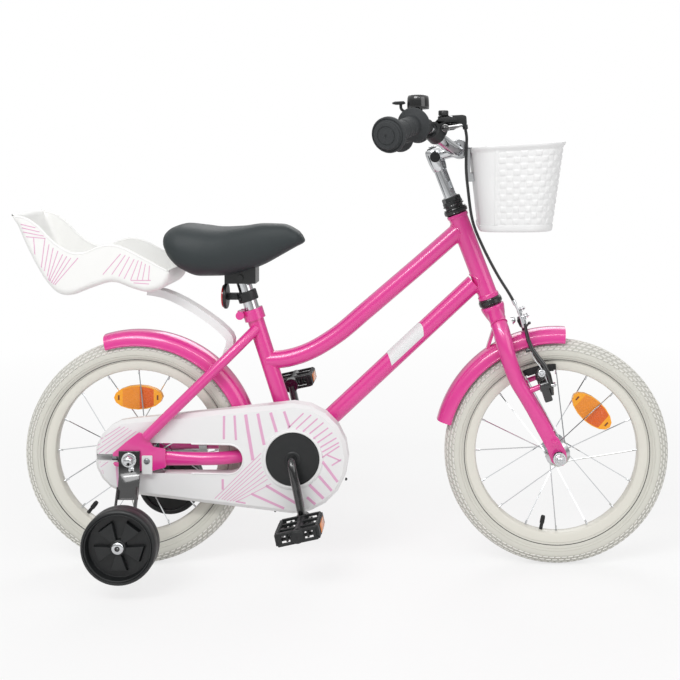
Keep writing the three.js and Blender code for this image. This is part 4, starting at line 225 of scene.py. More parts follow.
def sweep(path, section, up=(0, 1, 0), scale=None, close=True):
    """Carries a closed section, given as (side, up) pairs, along a path."""
    path = np.array(path, float)
    tangents = np.gradient(path, axis=0)
    tangents /= np.linalg.norm(tangents, axis=1)[:, None]
    normal = np.array(up, float)
    verts, faces = [], []
    count = len(section)
    for i, (p, t) in enumerate(zip(path, tangents)):
        normal = normal - t * normal.dot(t)
        normal /= np.linalg.norm(normal)
        side = np.cross(t, normal)
        k = 1 if scale is None else scale[i]
        verts += [p + side * s * k + normal * u * k for s, u in section]
        if i:
            a = (i - 1) * count
            faces += [(a + j, a + (j + 1) % count, a + count + (j + 1) % count, a + count + j)
                      for j in range(count)]
    if close:
        faces += [tuple(range(count))[::-1], tuple(range((len(path) - 1) * count, len(path) * count))]
    return verts, faces


def circle(radius, sides=28, flat=1.0):
    return [(radius * math.cos(a), radius * flat * math.sin(a)) for a in np.linspace(0, 2 * math.pi,
                                                                                     sides + 1)[:-1]]


def pipe(name, points, radius, body, look, replaces=(), steps=40, sides=28):
    path = catmull(points, steps) if len(points) > 2 else np.linspace(points[0], points[1], 3)
    verts, faces = sweep(path, circle(radius, sides))
    return make(name, verts, faces, body, look, replaces)


def spun(profile, base, axis=(0, 1, 0), steps=96, closed=True, start=0.0, end=2 * math.pi):
    """Turns a profile of (radius, height) pairs round an axis through the base point."""
    axis = Vector(axis).normalized()
    first = Vector((0, 0, 1)) if abs(axis.z) < 0.9 else Vector((1, 0, 0))
    u = (first - axis * first.dot(axis)).normalized()
    v = axis.cross(u)
    full = abs(end - start - 2 * math.pi) < 1e-6
    rows = steps if full else steps + 1
    verts, faces = [], []
    count = len(profile)
    for i in range(rows):
        a = start + (end - start) * i / steps
        ray = u * math.cos(a) + v * math.sin(a)
        verts += [tuple(Vector(base) + ray * r + axis * h) for r, h in profile]
    for i in range(steps):
        a, b = i * count, ((i + 1) % rows) * count
        for j in range(count if closed else count - 1):
            k = (j + 1) % count
            faces.append((a + j, a + k, b + k, b + j))
    if not full and closed:
        faces += [tuple(range(count))[::-1], tuple(range((rows - 1) * count, rows * count))]
    return verts, faces


def merge(*parts):
    verts, faces = [], []
    for v, f in parts:
        shift = len(verts)
        verts += [tuple(p) for p in v]
        faces += [tuple(i + shift for i in face) for face in f]
    return verts, faces


def around(x, z, radius, degrees):
    return x + radius * math.cos(math.radians(degrees)), z + radius * math.sin(math.radians(degrees))


def plate(outline, low, high):
    """A flat plate with an outline of (x, z) points between two places across the bicycle."""
    count = len(outline)
    area = sum(a[0] * b[1] - b[0] * a[1] for a, b in zip(outline, outline[1:] + outline[:1]))
    ring = outline if area > 0 else outline[::-1]
    low, high = min(low, high), max(low, high)
    verts = [(x, low, z) for x, z in ring] + [(x, high, z) for x, z in ring]
    faces = [(j, (j + 1) % count, count + (j + 1) % count, count + j) for j in range(count)]
    return verts, faces + [tuple(range(count))[::-1], tuple(range(count, 2 * count))]


BOX_FACES = [(0, 3, 2, 1), (4, 5, 6, 7), (0, 1, 5, 4), (1, 2, 6, 5), (2, 3, 7, 6), (3, 0, 4, 7)]
BLOCK_FACES = [(3, 2, 1, 0)] + BOX_FACES[1:]


def box(low, high):
    (x0, y0, z0), (x1, y1, z1) = low, high
    verts = [(x, y, z) for z in (z0, z1) for x, y in ((x0, y0), (x1, y0), (x1, y1), (x0, y1))]
    return verts, BOX_FACES


def rounded(outline, radius, steps=5):
    """The outline with its corners rounded."""
    out = []
    count = len(outline)
    for i, corner in enumerate(outline):
        c = np.array(corner, float)
        a, b = np.array(outline[i - 1], float) - c, np.array(outline[(i + 1) % count], float) - c
        cut = min(radius, np.linalg.norm(a) * 0.45, np.linalg.norm(b) * 0.45)
        start, end = c + a / np.linalg.norm(a) * cut, c + b / np.linalg.norm(b) * cut
        for t in np.linspace(0, 1, steps):
            out.append(tuple((1 - t) ** 2 * start + 2 * t * (1 - t) * c + t * t * end))
    return out


def varied(path, radii, sides=28, up=(0, 1, 0), close=True):
    """A sweep whose section is an ellipse of changing (in the side plane, across) radii."""
    steps = len(path)
    shares = np.linspace(0, 1, len(radii))
    a = np.interp(np.linspace(0, 1, steps), shares, [r[0] for r in radii])
    b = np.interp(np.linspace(0, 1, steps), shares, [r[1] for r in radii])
    verts, faces = sweep(path, circle(1, sides), up=up, close=close)
    verts = np.array(verts)
    for i in range(steps):
        rows = slice(i * sides, (i + 1) * sides)
        t = np.array(path[min(i + 1, steps - 1)]) - np.array(path[max(i - 1, 0)])
        t = t / np.linalg.norm(t)
        v = verts[rows] - np.array(path[i])
        n = np.array(up, float) - t * t.dot(up)
        n = n / np.linalg.norm(n)
        rise = v.dot(n)[:, None] * n
        verts[rows] = np.array(path[i]) + (v - rise) * a[i] + rise * b[i]
    return verts, faces


def bolt_head(base, axis, radius, height, sides=6, dome=0.0):
    """A bolt head or nut: a prism with chamfered corners, or a low dome with many sides."""
    profile = [(0, 0), (radius * 0.98, 0), (radius, height * 0.12), (radius, height * 0.8),
               (radius * 0.9, height)]
    if dome:
        profile = [(0, 0), (radius, 0), (radius, height * 0.2)]
        profile += [(radius * math.cos(t), height * (0.2 + 0.8 * math.sin(t)))
                    for t in np.linspace(0.15, 1.4, 7)]
    profile.append((0, profile[-1][1]))
    return spun(profile, base, axis, sides)


def lay_on(target):
    """A function that gives the place across the bicycle where the right side of a node lies under (x, z)."""
    mesh = target.data
    verts = [target.matrix_world @ v.co for v in mesh.vertices]
    tree = BVHTree.FromPolygons(verts, [tuple(p.vertices) for p in mesh.polygons])

    def at(x, z):
        hit = tree.ray_cast(Vector((x * MM, -0.5, z * MM)), Vector((0, 1, 0)))[0]
        return None if hit is None else hit.y / MM
    return at


def stripes(name, lines, at, body, look, lift=0.3):
    """Plain stripes, each (x0, z0, x1, z1, width), laid on the right side of a piece."""
    verts, faces = [], []
    for x0, z0, x1, z1, width in lines:
        length = math.hypot(x1 - x0, z1 - z0)
        nx, nz = -(z1 - z0) / length * width / 2, (x1 - x0) / length * width / 2
        count = max(2, int(length / 5))
        rows = []
        for t in np.linspace(0, 1, count + 1):
            x, z = x0 + (x1 - x0) * t, z0 + (z1 - z0) * t
            pair = [(x - nx, z - nz), (x + nx, z + nz)]
            ys = [at(*p) for p in pair]
            rows.append(None if None in ys or abs(ys[0] - ys[1]) > 3 else [(p[0], y, p[1]) for p,
                                                                           y in zip(pair, ys)])
        for a, b in zip(rows, rows[1:]):
            if a is None or b is None or abs(a[0][1] - b[0][1]) > 4:
                continue
            ring = [a[0], b[0], b[1], a[1]]
            shift = len(verts)
            verts += [(x, y - lift, z) for x, y, z in ring] + [(x, y + lift, z) for x, y, z in ring]
            faces += [tuple(shift + i for i in f) for f in BLOCK_FACES]
    return make(name, verts, faces, body, look, smooth=False)


REAR, FRONT, AXLE = -366.0, 366.0, 196.0
BRACKET = (-88.5, 0, 196.7)
SIDES = ((-1, "right"), (1, "left"))

# Wheels


def tyre_piece(name, x, body):
    section = [(158.3, 13.5), (163, 17.5), (168, 20.2), (174, 21.8), (179.5, 21.6), (184, 20.2),
               (188.3, 17.6), (191.3, 14.2), (193.6, 10), (194.8, 5.2), (195.2, 0)]
    profile = section + [(r, -y) for r, y in reversed(section[:-1])] + [(166, -9), (186, 0), (166, 9)]
    verts, faces = spun(profile, (x, 0, AXLE), steps=120)
    make(name, verts, faces, body, "tyre", [name.replace("_detailed", "")])
    blocks = []
    rows = 104
    for i in range(rows):
        for k, (y, r, slant) in enumerate([(0, 195.2, 0), (7.2, 194.2, 1), (-7.2, 194.2, -1),
                                           (13.6, 191.2, 1), (-13.6, 191.2, -1), (18.3, 186.6, 1),
                                           (-18.3, 186.6, -1), (20.9, 181.6, 1), (-20.9, 181.6, -1)]):
            a = (i + (0.5 if k in (1, 2, 5, 6) else 0)) * 360 / rows
            da = 360 / rows * 0.34
            tilt = math.atan2(abs(y), 30) * (1 if y > 0 else -1)
            lift = 0.75
            corners = []
            for rise in (-0.6, lift):
                for sa, sy in ((-1, -1), (1, -1), (1, 1), (-1, 1)):
                    yy = y + sy * 2.7 * math.cos(tilt) + math.sin(tilt) * rise * 0.8
                    rr = r - sy * 2.7 * math.sin(tilt) * 0.9 + rise
                    px, pz = around(x, AXLE, rr, a + (sa + sy * 0.45 * (slant or 1)) * da)
                    corners.append((px, yy, pz))
            blocks.append((corners, BOX_FACES))
    verts, faces = merge(*blocks)
    # The tread blocks carry the tyre's rubber painted lighter: painted highlight on the raised tops.
    make(name + "_tread", verts, faces, body, "tread_lit", smooth=False)
    # A layer under the tread blocks, painted darker than the tyre: painted shade in the grooves.
    groove = [(r + 0.12, y + 0.12) for r, y in section if r > 178]
    groove = groove + [(r, -y) for r, y in reversed(groove)]
    make(name + "_grooves", *spun(groove + [(178, -19), (190, 0), (178, 19)], (x, 0, AXLE), steps=120),
         body, "groove")
    seams = [spun([(161.0, side * 16.0), (161.7, side * 17.0), (162.4, side * 16.4)], (x, 0, AXLE),
                  steps=120) for side in (-1, 1)]
    make(name + "_seams", *merge(*seams), body, "rubber")
    rings = []
    for side in (-1, 1):
        for r, y in ((166.5, 19.6), (170.5, 21.1), (183.2, 20.6)):
            ring = [(r - 0.7, side * (y - 0.4)), (r, side * (y + 0.55)), (r + 0.7, side * (y - 0.4))]
            rings.append(spun(ring, (x, 0, AXLE), steps=96))
    verts, faces = merge(*rings)
    make(name + "_lines", verts, faces, body, "tyre")


def rim_piece(name, x, body, valve):
    outer = [(158.2, 13.5), (157.6, 13.9), (155.6, 13.7), (152.5, 13.2), (147.0, 12.6), (143.2, 10.6),
             (141.6, 7), (141.2, 0)]
    profile = outer + [(r, -y) for r, y in reversed(outer[:-1])] + [(158.2, -11), (150, -9), (146, 0),
                                                                    (150, 9), (158.2, 11)]
    verts, faces = spun(profile, (x, 0, AXLE), steps=120)
    base = Vector((*around(x, AXLE, 142.4, valve), 0)).xzy
    away = Vector((-math.cos(math.radians(valve)), 0, -math.sin(math.radians(valve))))
    make(name, verts, faces, body, "rim", [name.replace("_detailed", "")])
    stem = spun([(0, 0), (3.1, 0), (3.1, 12), (2.6, 14), (0, 14)], base, away, 16)
    make(name + "_valve_stem", *stem, body, "rubber")
    cap = spun([(0, 12), (4.0, 12), (4.1, 14), (4.0, 22), (3.2, 25.2), (0, 25.6)], base, away, 16)
    make(name + "_valve_cap", *cap, body, "rubber")
    nipples = []
    for i in range(16):
        a = i * 22.5
        bx, bz = around(x, AXLE, 143.2, a)
        inward = (-math.cos(math.radians(a)), 0, -math.sin(math.radians(a)))
        nipples.append(spun([(0, -2), (2.4, -2), (2.2, 1), (1.7, 2), (1.6, 10), (0, 10)], (bx, 0, bz),
                            inward, 10))
    make(name + "_nipples", *merge(*nipples), body, "chrome")


tyre_piece("front_tyre_detailed", FRONT, "front_wheel")
tyre_piece("rear_tyre_detailed", REAR, "rear_wheel")
rim_piece("front_rim_detailed", FRONT, "front_wheel", 259)
rim_piece("rear_rim_detailed", REAR, "rear_wheel", 231)


# Frame tubes
HEAD_TOP, HEAD_LOW = Vector((192.2, 0, 610.2)), Vector((248.3, 0, 463.7))
HEAD = (HEAD_LOW - HEAD_TOP).normalized()
HEAD_LEAN = 0.365709
TUBE_LOW, TUBE_TOP, TUBE_RADIUS = Vector((-72, 0, 214)), Vector((234.3, 0, 500.3)), 15.9
SEAT_LOW, SEAT_TOP = Vector(BRACKET), Vector((-166.7, 0, 441.7))
TOP_ROUTE = [(201.3, 0, 586.7), (134.5, 0, 528), (82, 0, 483), (26.9, 0, 436), (-14, 0, 401.5),
             (-56.5, 0, 374.5), (-85, 0, 362.5), (-110, 0, 356.3), (-129, 0, 354.5), (-141, 0, 354.3)]
SEAT_STAY = [(-158, 9, 411), (-178, 24, 391), (-203, 38.5, 366), (-245, 50, 325), (-298, 59.5, 273),
             (-338, 60, 234)]
CHAIN_STAY = [(-312, 52, 195.5), (-262, 52, 195.3), (-216, 49, 195), (-186, 37.5, 195), (-154, 22.5, 195.5),
              (-96, 20, 196.5)]


def head_tube_piece():
    verts, faces = spun([(14.2, 0), (18.6, 0), (18.9, 1.2), (18.9, 5), (17.2, 7), (17, 9), (17, 147.9),
                         (17.2, 150), (18.9, 152), (18.9, 155.6), (18.6, 156.8), (14.2, 156.8)], HEAD_TOP,
                        HEAD, 48)
    make("head_tube_detailed", verts, faces, "frame", "pink", ["head_tube"])


head_tube_piece()

pipe("top_tube_detailed", TOP_ROUTE, 15.5, "frame", "pink", ["top_tube"], steps=60)
pipe("down_tube_detailed", [(222.6, 0, 489.4), tuple(TUBE_LOW)], TUBE_RADIUS, "frame", "pink", ["down_tube"])


def seat_tube_piece():
    seat_dir = (SEAT_TOP - SEAT_LOW).normalized()
    shell = spun([(25.4, -34), (28.2, -34), (28.6, -33.4), (28.6, 33.4), (28.2, 34), (25.4, 34)], BRACKET,
                 steps=64)
    tube_long = (SEAT_TOP - SEAT_LOW).length
    post = spun([(13.0, 26), (14.3, 26), (14.3, tube_long - 0.5), (13.8, tube_long), (13.0, tube_long)],
                SEAT_LOW, seat_dir, 40)
    make("seat_tube_detailed", *merge(shell, post), "frame", "pink", ["seat_tube_and_shell"])


seat_tube_piece()


def bead(name, centre, axis, radius, thick=1.6, look="pink", body="frame", squeeze=None):
    """A weld bead: a ripply ring where one tube meets another."""
    axis = Vector(axis).normalized()
    first = Vector((0, 1, 0))
    u = (first - axis * first.dot(axis)).normalized()
    v = axis.cross(u)
    points = []
    for a in np.linspace(0, 2 * math.pi, 73)[:-1]:
        shift = squeeze(a) if squeeze else 0.0
        points.append(Vector(centre) + u * radius * math.cos(a) + v * radius * math.sin(a) + axis * shift)
    verts, faces = [], []
    for i, p in enumerate(points):
        t = (points[(i + 1) % 72] - points[i - 1]).normalized()
        out = (p - Vector(centre))
        out = (out - t * out.dot(t)).normalized()
        side = t.cross(out)
        r = thick * (1 + 0.12 * math.sin(i * 2 * math.pi / 3.6))
        verts += [tuple(p + out * r * math.cos(b) + side * r * math.sin(b))
                  for b in np.linspace(0, 2 * math.pi, 9)[:-1]]
    for i in range(72):
        a, b = i * 8, ((i + 1) % 72) * 8
        faces += [(a + j, a + (j + 1) % 8, b + (j + 1) % 8, b + j) for j in range(8)]
    return make(name, verts, faces, body, look)


def saddle_line(far_radius, near_radius, tilt):
    """How far along the near tube its wall meets a far tube, round the joint."""
    def along(a):
        across = near_radius * math.cos(a)
        reach = math.sqrt(max(far_radius ** 2 - across ** 2, 0)) - far_radius
        lean = near_radius * math.sin(a) / math.tan(tilt)
        return reach / math.sin(tilt) + lean
    return along


down_dir = Vector((-72 - 234.3, 0, 214 - 500.3)).normalized()
top_dir = Vector((134.5 - 201.3, 0, 528 - 586.7)).normalized()


def meet(start, direction, line_point, line_dir, far_radius):
    """Distance along a tube to where its axis leaves a far tube's wall."""
    n = Vector((-line_dir.z, 0, line_dir.x))
    s = (Vector(line_point) - Vector(start)).dot(n) / direction.dot(n)
    tilt = math.acos(min(1, abs(direction.dot(line_dir))))
    return Vector(start) + direction * (s + far_radius / math.sin(tilt)), tilt


for label, start, direction, radius in (("down", (234.3, 0, 500.3), down_dir, 15.9),
                                        ("top", (201.3, 0, 586.7), top_dir, 15.5)):
    place, tilt = meet(start, direction, HEAD_TOP, HEAD, 17)
    bead(f"{label}_tube_weld", place, direction, radius, squeeze=saddle_line(17, radius, tilt))


def mirror(points, side):
    return [(x, y * side, z) for x, y, z in points]


for side, word in SIDES:
    stay = catmull(mirror(SEAT_STAY, side), 50)
    verts, faces = sweep(stay, circle(9, 24))
    parts = [(verts, faces)]
    if side == 1:
        bx, bz = around(REAR, AXLE, 220.3, 46.5)
        parts.append(sweep([(bx, -44, bz), (bx, 0, bz), (bx, 44, bz)], circle(8, 24), up=(0, 0, 1)))
    make(f"seat_stay_{word}_detailed", *merge(*parts), "frame", "pink", [f"seat_stay_{word}"])


# Mudguards


def mudguard(name, x, radius, low, high, replaces, body):
    half = 27.0
    keys = [(-26.6, 24.5), (-27, 22), (-26.4, 17), (-24, 9.5), (-19.5, 4.4), (-13, 1.4), (-6, 0.3), (0, 0)]
    curve = catmull([(y, d, 0) for y, d in keys], 22)[:, :2]
    outer = [(y, radius - d) for y, d in curve] + [(-y, radius - d) for y, d in reversed(curve[:-1])]
    inner = [(y * (1 - 1.7 / half), r - 1.5) for y, r in reversed(outer)]
    profile = [(r, y) for y, r in outer + inner]
    verts, faces = spun(profile, (x, 0, AXLE), steps=72, start=math.radians(90 - high),
                        end=math.radians(90 - low))
    lips = []
    for side in (-1, 1):
        ring = [(radius - 23.4 + 1.3 * math.cos(b), side * 26.2 + 1.3 * math.sin(b))
                for b in np.linspace(0, 2 * math.pi, 9)[:-1]]
        lips.append(spun(ring, (x, 0, AXLE), steps=72, start=math.radians(90 - high),
                         end=math.radians(90 - low)))
    return make(name, *merge((verts, faces), *lips), body, "pink", replaces, angle=50)


mudguard("front_mudguard_detailed", FRONT, 217, 86, 165, [], "steering")
mudguard("rear_mudguard_detailed", REAR, 212, 8, 106, ["rear_mudguard"], "frame")

# Fork, stays


def fork_piece():
    crown_top = HEAD_LOW + HEAD * (13 / abs(HEAD.z))
    crown = spun([(12, 0.3), (19.6, 0.3), (20.9, 1.6), (20.9, 5.5), (19.8, 10), (17.6, 18), (15.2, 25),
                  (0, 27)], crown_top, HEAD, 48)
    leg_route = [(256.2, 10, 441), (261, 22, 430), (266.5, 33, 415), (271.5, 41, 397), (277, 45, 375),
                 (293.3, 45.2, 328.2), (311, 45.2, 297), (328.4, 45.2, 266.4), (345, 45.4, 236.5),
                 (357, 45.8, 214)]
    fork_parts = [crown]
    for side in (-1, 1):
        path = catmull(mirror(leg_route, side), 60)
        fork_parts.append(varied(path, [(13, 11), (14.6, 13), (14.3, 14), (13.6, 13.4), (12.6, 11.5),
                                        (12, 8.5), (12.6, 5.2), (12.4, 3.4)], 32))
        tip = rounded([(341, 224), (350, 238), (364, 231), (378.5, 205), (379.5, 190), (373, 182),
                       (371.3, 182), (371.3, 196), (366, 201.3), (360.7, 196), (360.7, 183), (353, 188)], 4)
        fork_parts.append(plate(tip, side * 43, side * 49))
        lean = math.tan(HEAD_LEAN)
        fork_parts.append(sweep([(302.6, side * 40, 318.5 - 40 * lean),
                                 (330, side * 40, 318.5 - 12.6 * lean),
                                 (348, side * 40, 318.5 + 5.4 * lean)], circle(4.8, 20), up=(0, 1, 0)))
    make("fork_detailed", *merge(*fork_parts), "steering", "pink", ["fork"], bevel=0.8)
    make("steerer_top", *spun([(11.5, 0), (12.6, 0), (12.6, 7), (11.5, 7)], HEAD_TOP - HEAD * 27, -HEAD,
                              40), "steering", "chrome")
    bead("fork_crown_weld_right", (264.5, -29, 422), Vector((10, -22, -25)), 14.2, 1.1, body="steering")
    bead("fork_crown_weld_left", (264.5, 29, 422), Vector((10, 22, -25)), 14.2, 1.1, body="steering")


fork_piece()

DROPOUT = [(-395, 201.2), (-395, 206), (-372, 226), (-350.5, 242), (-340, 238), (-332.5, 227), (-327, 217),
           (-305.5, 213.5), (-304.5, 182), (-326, 176.5), (-334, 174), (-392, 184.5), (-395, 190.9),
           (-361.2, 190.9), (-360.8, 196), (-361.2, 201.2)]
for side, word in SIDES:
    path = catmull(mirror([(-322, 55, 195.6)] + CHAIN_STAY, side), 56)
    stay = varied(path, [(12.5, 4), (11.6, 8.5), (11.1, 11.1), (11.1, 11.1), (11.1, 11.1), (11.1, 11.1),
                         (11.1, 11.1)], 28)
    drop = plate(rounded(DROPOUT, 3), side * 55, side * 60)
    make(f"chain_stay_{word}_detailed", *merge(stay, drop), "frame", "pink", [f"chain_stay_{word}"],
         bevel=0.8)

# Chain case
case_side = lay_on(nodes["chain_case"])
CASE_STRIPES = [(-206, 269, -206, 230, 3.9), (-188, 270, -185, 229, 3.9), (-169, 272, -156, 195, 5.4),
                (-148, 274, -137, 221, 4.9), (-126, 276, -116, 243, 4.9), (-103, 278, -94, 251, 4.4),
                (-97, 249, -70, 275, 2.2), (-83, 248, -57, 272, 2.2), (-71, 244, -46, 266, 2.2),
                (-60, 240, -36, 259, 2.2), (-53, 232, -28, 250, 2.2), (-46, 225, -21, 242, 2.2),
                (-41, 217, -14, 233, 2.2), (-38, 209, -10, 225, 2.2), (-38, 200, -9, 219, 2.2),
                (-30, 204, -7, 194, 2.4), (-22, 186, -6, 196, 2.4), (-38, 193, -12, 158, 4.4),
                (-44, 168, -22, 143, 4.4), (-60, 153, -36, 130, 4.9), (-64, 132, -50, 120, 4.4),
                (-134, 152, -80, 120, 4.4), (-159, 138, -103, 113, 3.9), (-186, 124, -169, 121, 2.4),
                (-208, 162, -208, 144, 3.9), (-418, 173, -412, 149, 3.9), (-392, 183, -389, 140, 3.9),
                (-222, 128, -142, 207, 1.2), (-216, 127, -143, 198, 1.2), (-210, 127, -142, 191, 1.2),
                (-206, 126, -141, 184, 1.2), (-201, 125, -138, 176, 1.2), (-196, 124, -134, 170, 1.2),
                (-191, 124, -131, 163, 1.2), (-186, 123, -125, 155, 1.2), (-425, 223, -386, 248, 1.2),
                (-426, 215, -378, 248, 1.2), (-427, 207, -372, 246, 1.2), (-427, 199, -366, 243, 1.2),
                (-428, 190, -358, 241, 1.2), (-428, 182, -351, 238, 1.2), (-428, 173, -347, 231, 1.2),]
stripes("chain_case_stripes", CASE_STRIPES, case_side, "frame", "stripe")


def chain_case_trim():
    ring = [(47.6 + 2.1 * math.cos(a), -62.2 + 2.1 * math.sin(a))
            for a in np.linspace(0, 2 * math.pi, 17)[:-1]]
    make("chain_case_lip", *spun(ring, BRACKET, steps=96), "frame", "white")
    edge = [around(-197.6, AXLE, 25.3, a) for a in np.linspace(-90, 90, 25)]
    edge = [(-262, AXLE - 25.3), (-230, AXLE - 25.3)] + edge + [(-230, AXLE + 25.3), (-262, AXLE + 25.3)]
    slot_edge = [(x, (case_side(x + 3 * (x > -200), z + (3 if z > AXLE else -3)) or -55) + 0.6, z) for x,
                 z in edge]
    make("chain_case_slot_lip", *sweep(slot_edge, circle(1.7, 12)), "frame", "white")
    for i, (px, pz) in enumerate(((3.2, 205.5), (3.4, 158.5), (-118, 104.5))):
        make(f"chain_case_screw_{i}", *bolt_head((px - 3, -46, pz), (0.9, -0.3, 0), 2.6, 3.2, 16, dome=1),
             "frame", "black_steel")


chain_case_trim()

# Stabilisers and rear axle ends


def stabiliser_wheel_piece(side, word):
    base = (-350.0, side * 190.0, 90.5)
    inward = (0, -side, 0)
    ring = [(51.6, 1.6), (52.4, 0.6), (53.4, 0.6), (54.1, 2.0), (54.8, 2.0), (55.6, 0.3), (57.4, 0.5),
            (59.2, 1.8), (60.2, 4.2), (60.5, 8), (60.5, 14), (60.1, 15.5), (60.1, 18.5), (60.5, 20),
            (60.5, 26), (60.2, 29.8), (59.2, 32.2), (57.2, 33.6), (53, 34), (51.4, 33), (51.0, 26),
            (13, 24), (12.6, 31), (10.5, 32), (6.2, 32), (6.2, 2.6), (11.2, 2.6), (12.4, 3.6), (13.2, 12.5),
            (30, 15.5), (50.2, 15.5), (51.2, 13.5)]
    parts = [spun(ring, base, inward, 96)]
    for turn in (270, 342, 54, 126, 198):
        a = turn if side < 0 else 180 - turn
        shape = []
        for level, (r0, w0, r1, w1) in (("top", (10.5, 3.6, 37.5, 12.6)), ("low", (10.5, 4.6, 39.5, 14.0))):
            for r, w, along in ((r0, -w0, 0), (r1, -w1, 1), (r1, w1, 1), (r0, w0, 0)):
                depth = {"top": 4.2 + 3.6 * along, "low": 15.8}[level]
                c, n = math.cos(math.radians(a)), math.sin(math.radians(a))
                shape.append((base[0] + r * c - w * n, base[1] - side * depth, base[2] + r * n + w * c))
        faces = [(0, 1, 2, 3), (7, 6, 5, 4), (1, 0, 4, 5), (2, 1, 5, 6), (3, 2, 6, 7), (0, 3, 7, 4)]
        parts.append((shape, faces))
    make(f"stabiliser_wheel_{word}_detailed", *merge(*parts), f"stabiliser_wheel_{word}", "black",
         [f"stabiliser_wheel_{word}"], bevel=0.5, angle=40)
    head = spun([(0, 1.6), (9.6, 1.6), (9.6, 0.4), (9.0, -0.4), (6.8, -1.2), (4.3, -1.4), (3.9, 0.8),
                 (0, 0.8)], (base[0], base[1], base[2]), inward, 40)
    make(f"stabiliser_bolt_{word}", *head, "frame", "chrome")
    near = side * 64.4
    out = (0, side, 0)
    make(f"axle_dome_nut_{word}", *merge(
        spun([(0, 0), (12.5, 0), (12.5, 1.4), (12.0, 1.8), (0, 1.8)], (-366, near, 196.2), out, 40),
        bolt_head((-366, side * 66.1, 196.2), out, 9.6, 7.5, 6),
        bolt_head((-366, side * 72.4, 196.2), out, 7.4, 5.5, 32, dome=1)), "frame", "chrome")
    make(f"bracket_screw_{word}", *merge(
        spun([(0, 0), (6.6, 0), (6.6, 1.1), (0, 1.1)], (-361.5, near, 180), out, 32),
        bolt_head((-361.5, side * 65.4, 180), out, 5.4, 3.6, 28, dome=1)), "frame", "chrome")
    tab = plate(rounded([(-344.9, 202.9), (-327.2, 202.9), (-327.2, 171), (-344.9, 171)], 1.5, 4),
                side * 60.1, side * 61.9)
    make(f"chain_tab_{word}", *tab, "frame", "bare_white", bevel=0.4)
    make(f"chain_tab_screw_{word}", *merge(bolt_head((-336.3, side * 61.8, 193.4), out, 5.2, 3.0, 28,
                                                     dome=1), spun([(0, 2.2), (2.1, 2.2), (2.1, 3.3),
                                                                    (0, 3.3)], (-336.3, side * 61.8, 193.4),
                                                                   out, 6)), "frame", "steel")


for side, word in SIDES:
    stabiliser_wheel_piece(side, word)

# Crank


def crank_disc_piece():
    ring = [(8.6, -59), (45.2, -59), (45.4, -60), (45.4, -61.4), (44.6, -62.6), (42.2, -63), (41.2, -62.6),
            (20.5, -62.6), (19.6, -63), (13.6, -63), (12.8, -64.2), (11.4, -64.8), (8.6, -64.8)]
    make("crank_disc_detailed", *spun(ring, BRACKET, steps=96), "crank", "black", ["crank_disc"])


crank_disc_piece()


def crank_piece():
    right_arm = [(-88.5, -50, 196.7), (-88.5, -66, 196.7), (-88.3, -74, 195.2), (-86.8, -79.5, 188.5),
                 (-84, -82, 176), (-78, -83.6, 148), (-72.5, -84, 122), (-67.9, -84, 101.6)]
    left_arm = [(2 * -88.5 - x, -y, 2 * 196.7 - z) for x, y, z in right_arm]
    crank_parts = [sweep([(-88.5, -52, 196.7), BRACKET, (-88.5, 52, 196.7)], circle(8.5, 32), up=(0, 0, 1))]
    for arm, side, (ex, ez) in ((right_arm, -1, (-67.9, 101.6)), (left_arm, 1, (-109.0, 291.8))):
        crank_parts.append(varied(catmull(arm, 56), [(8.5, 8.5), (8.8, 8.6), (9.6, 8.2), (10.0, 7.6),
                                                     (10.4, 7.4), (11.4, 7.2), (12.8, 7), (13.2, 6.8)], 28,
                                  up=(1, 0, 0.2)))
        crank_parts.append(spun([(0, -7.5), (12.2, -7.5), (12.9, -6.6), (12.9, 6.6), (12.2, 7.5), (0, 7.5)],
                                (ex, side * 84, ez), (0, 1, 0), 48))
        crank_parts.append(spun([(0, 0), (6, 0), (6, 52), (0, 52)], (ex, side * 84, ez), (0, side, 0), 24))
    make("crank_detailed", *merge(*crank_parts), "crank", "black_gloss", ["crank"])


crank_piece()

# Pedals
PEDAL_TILT = math.radians(12)


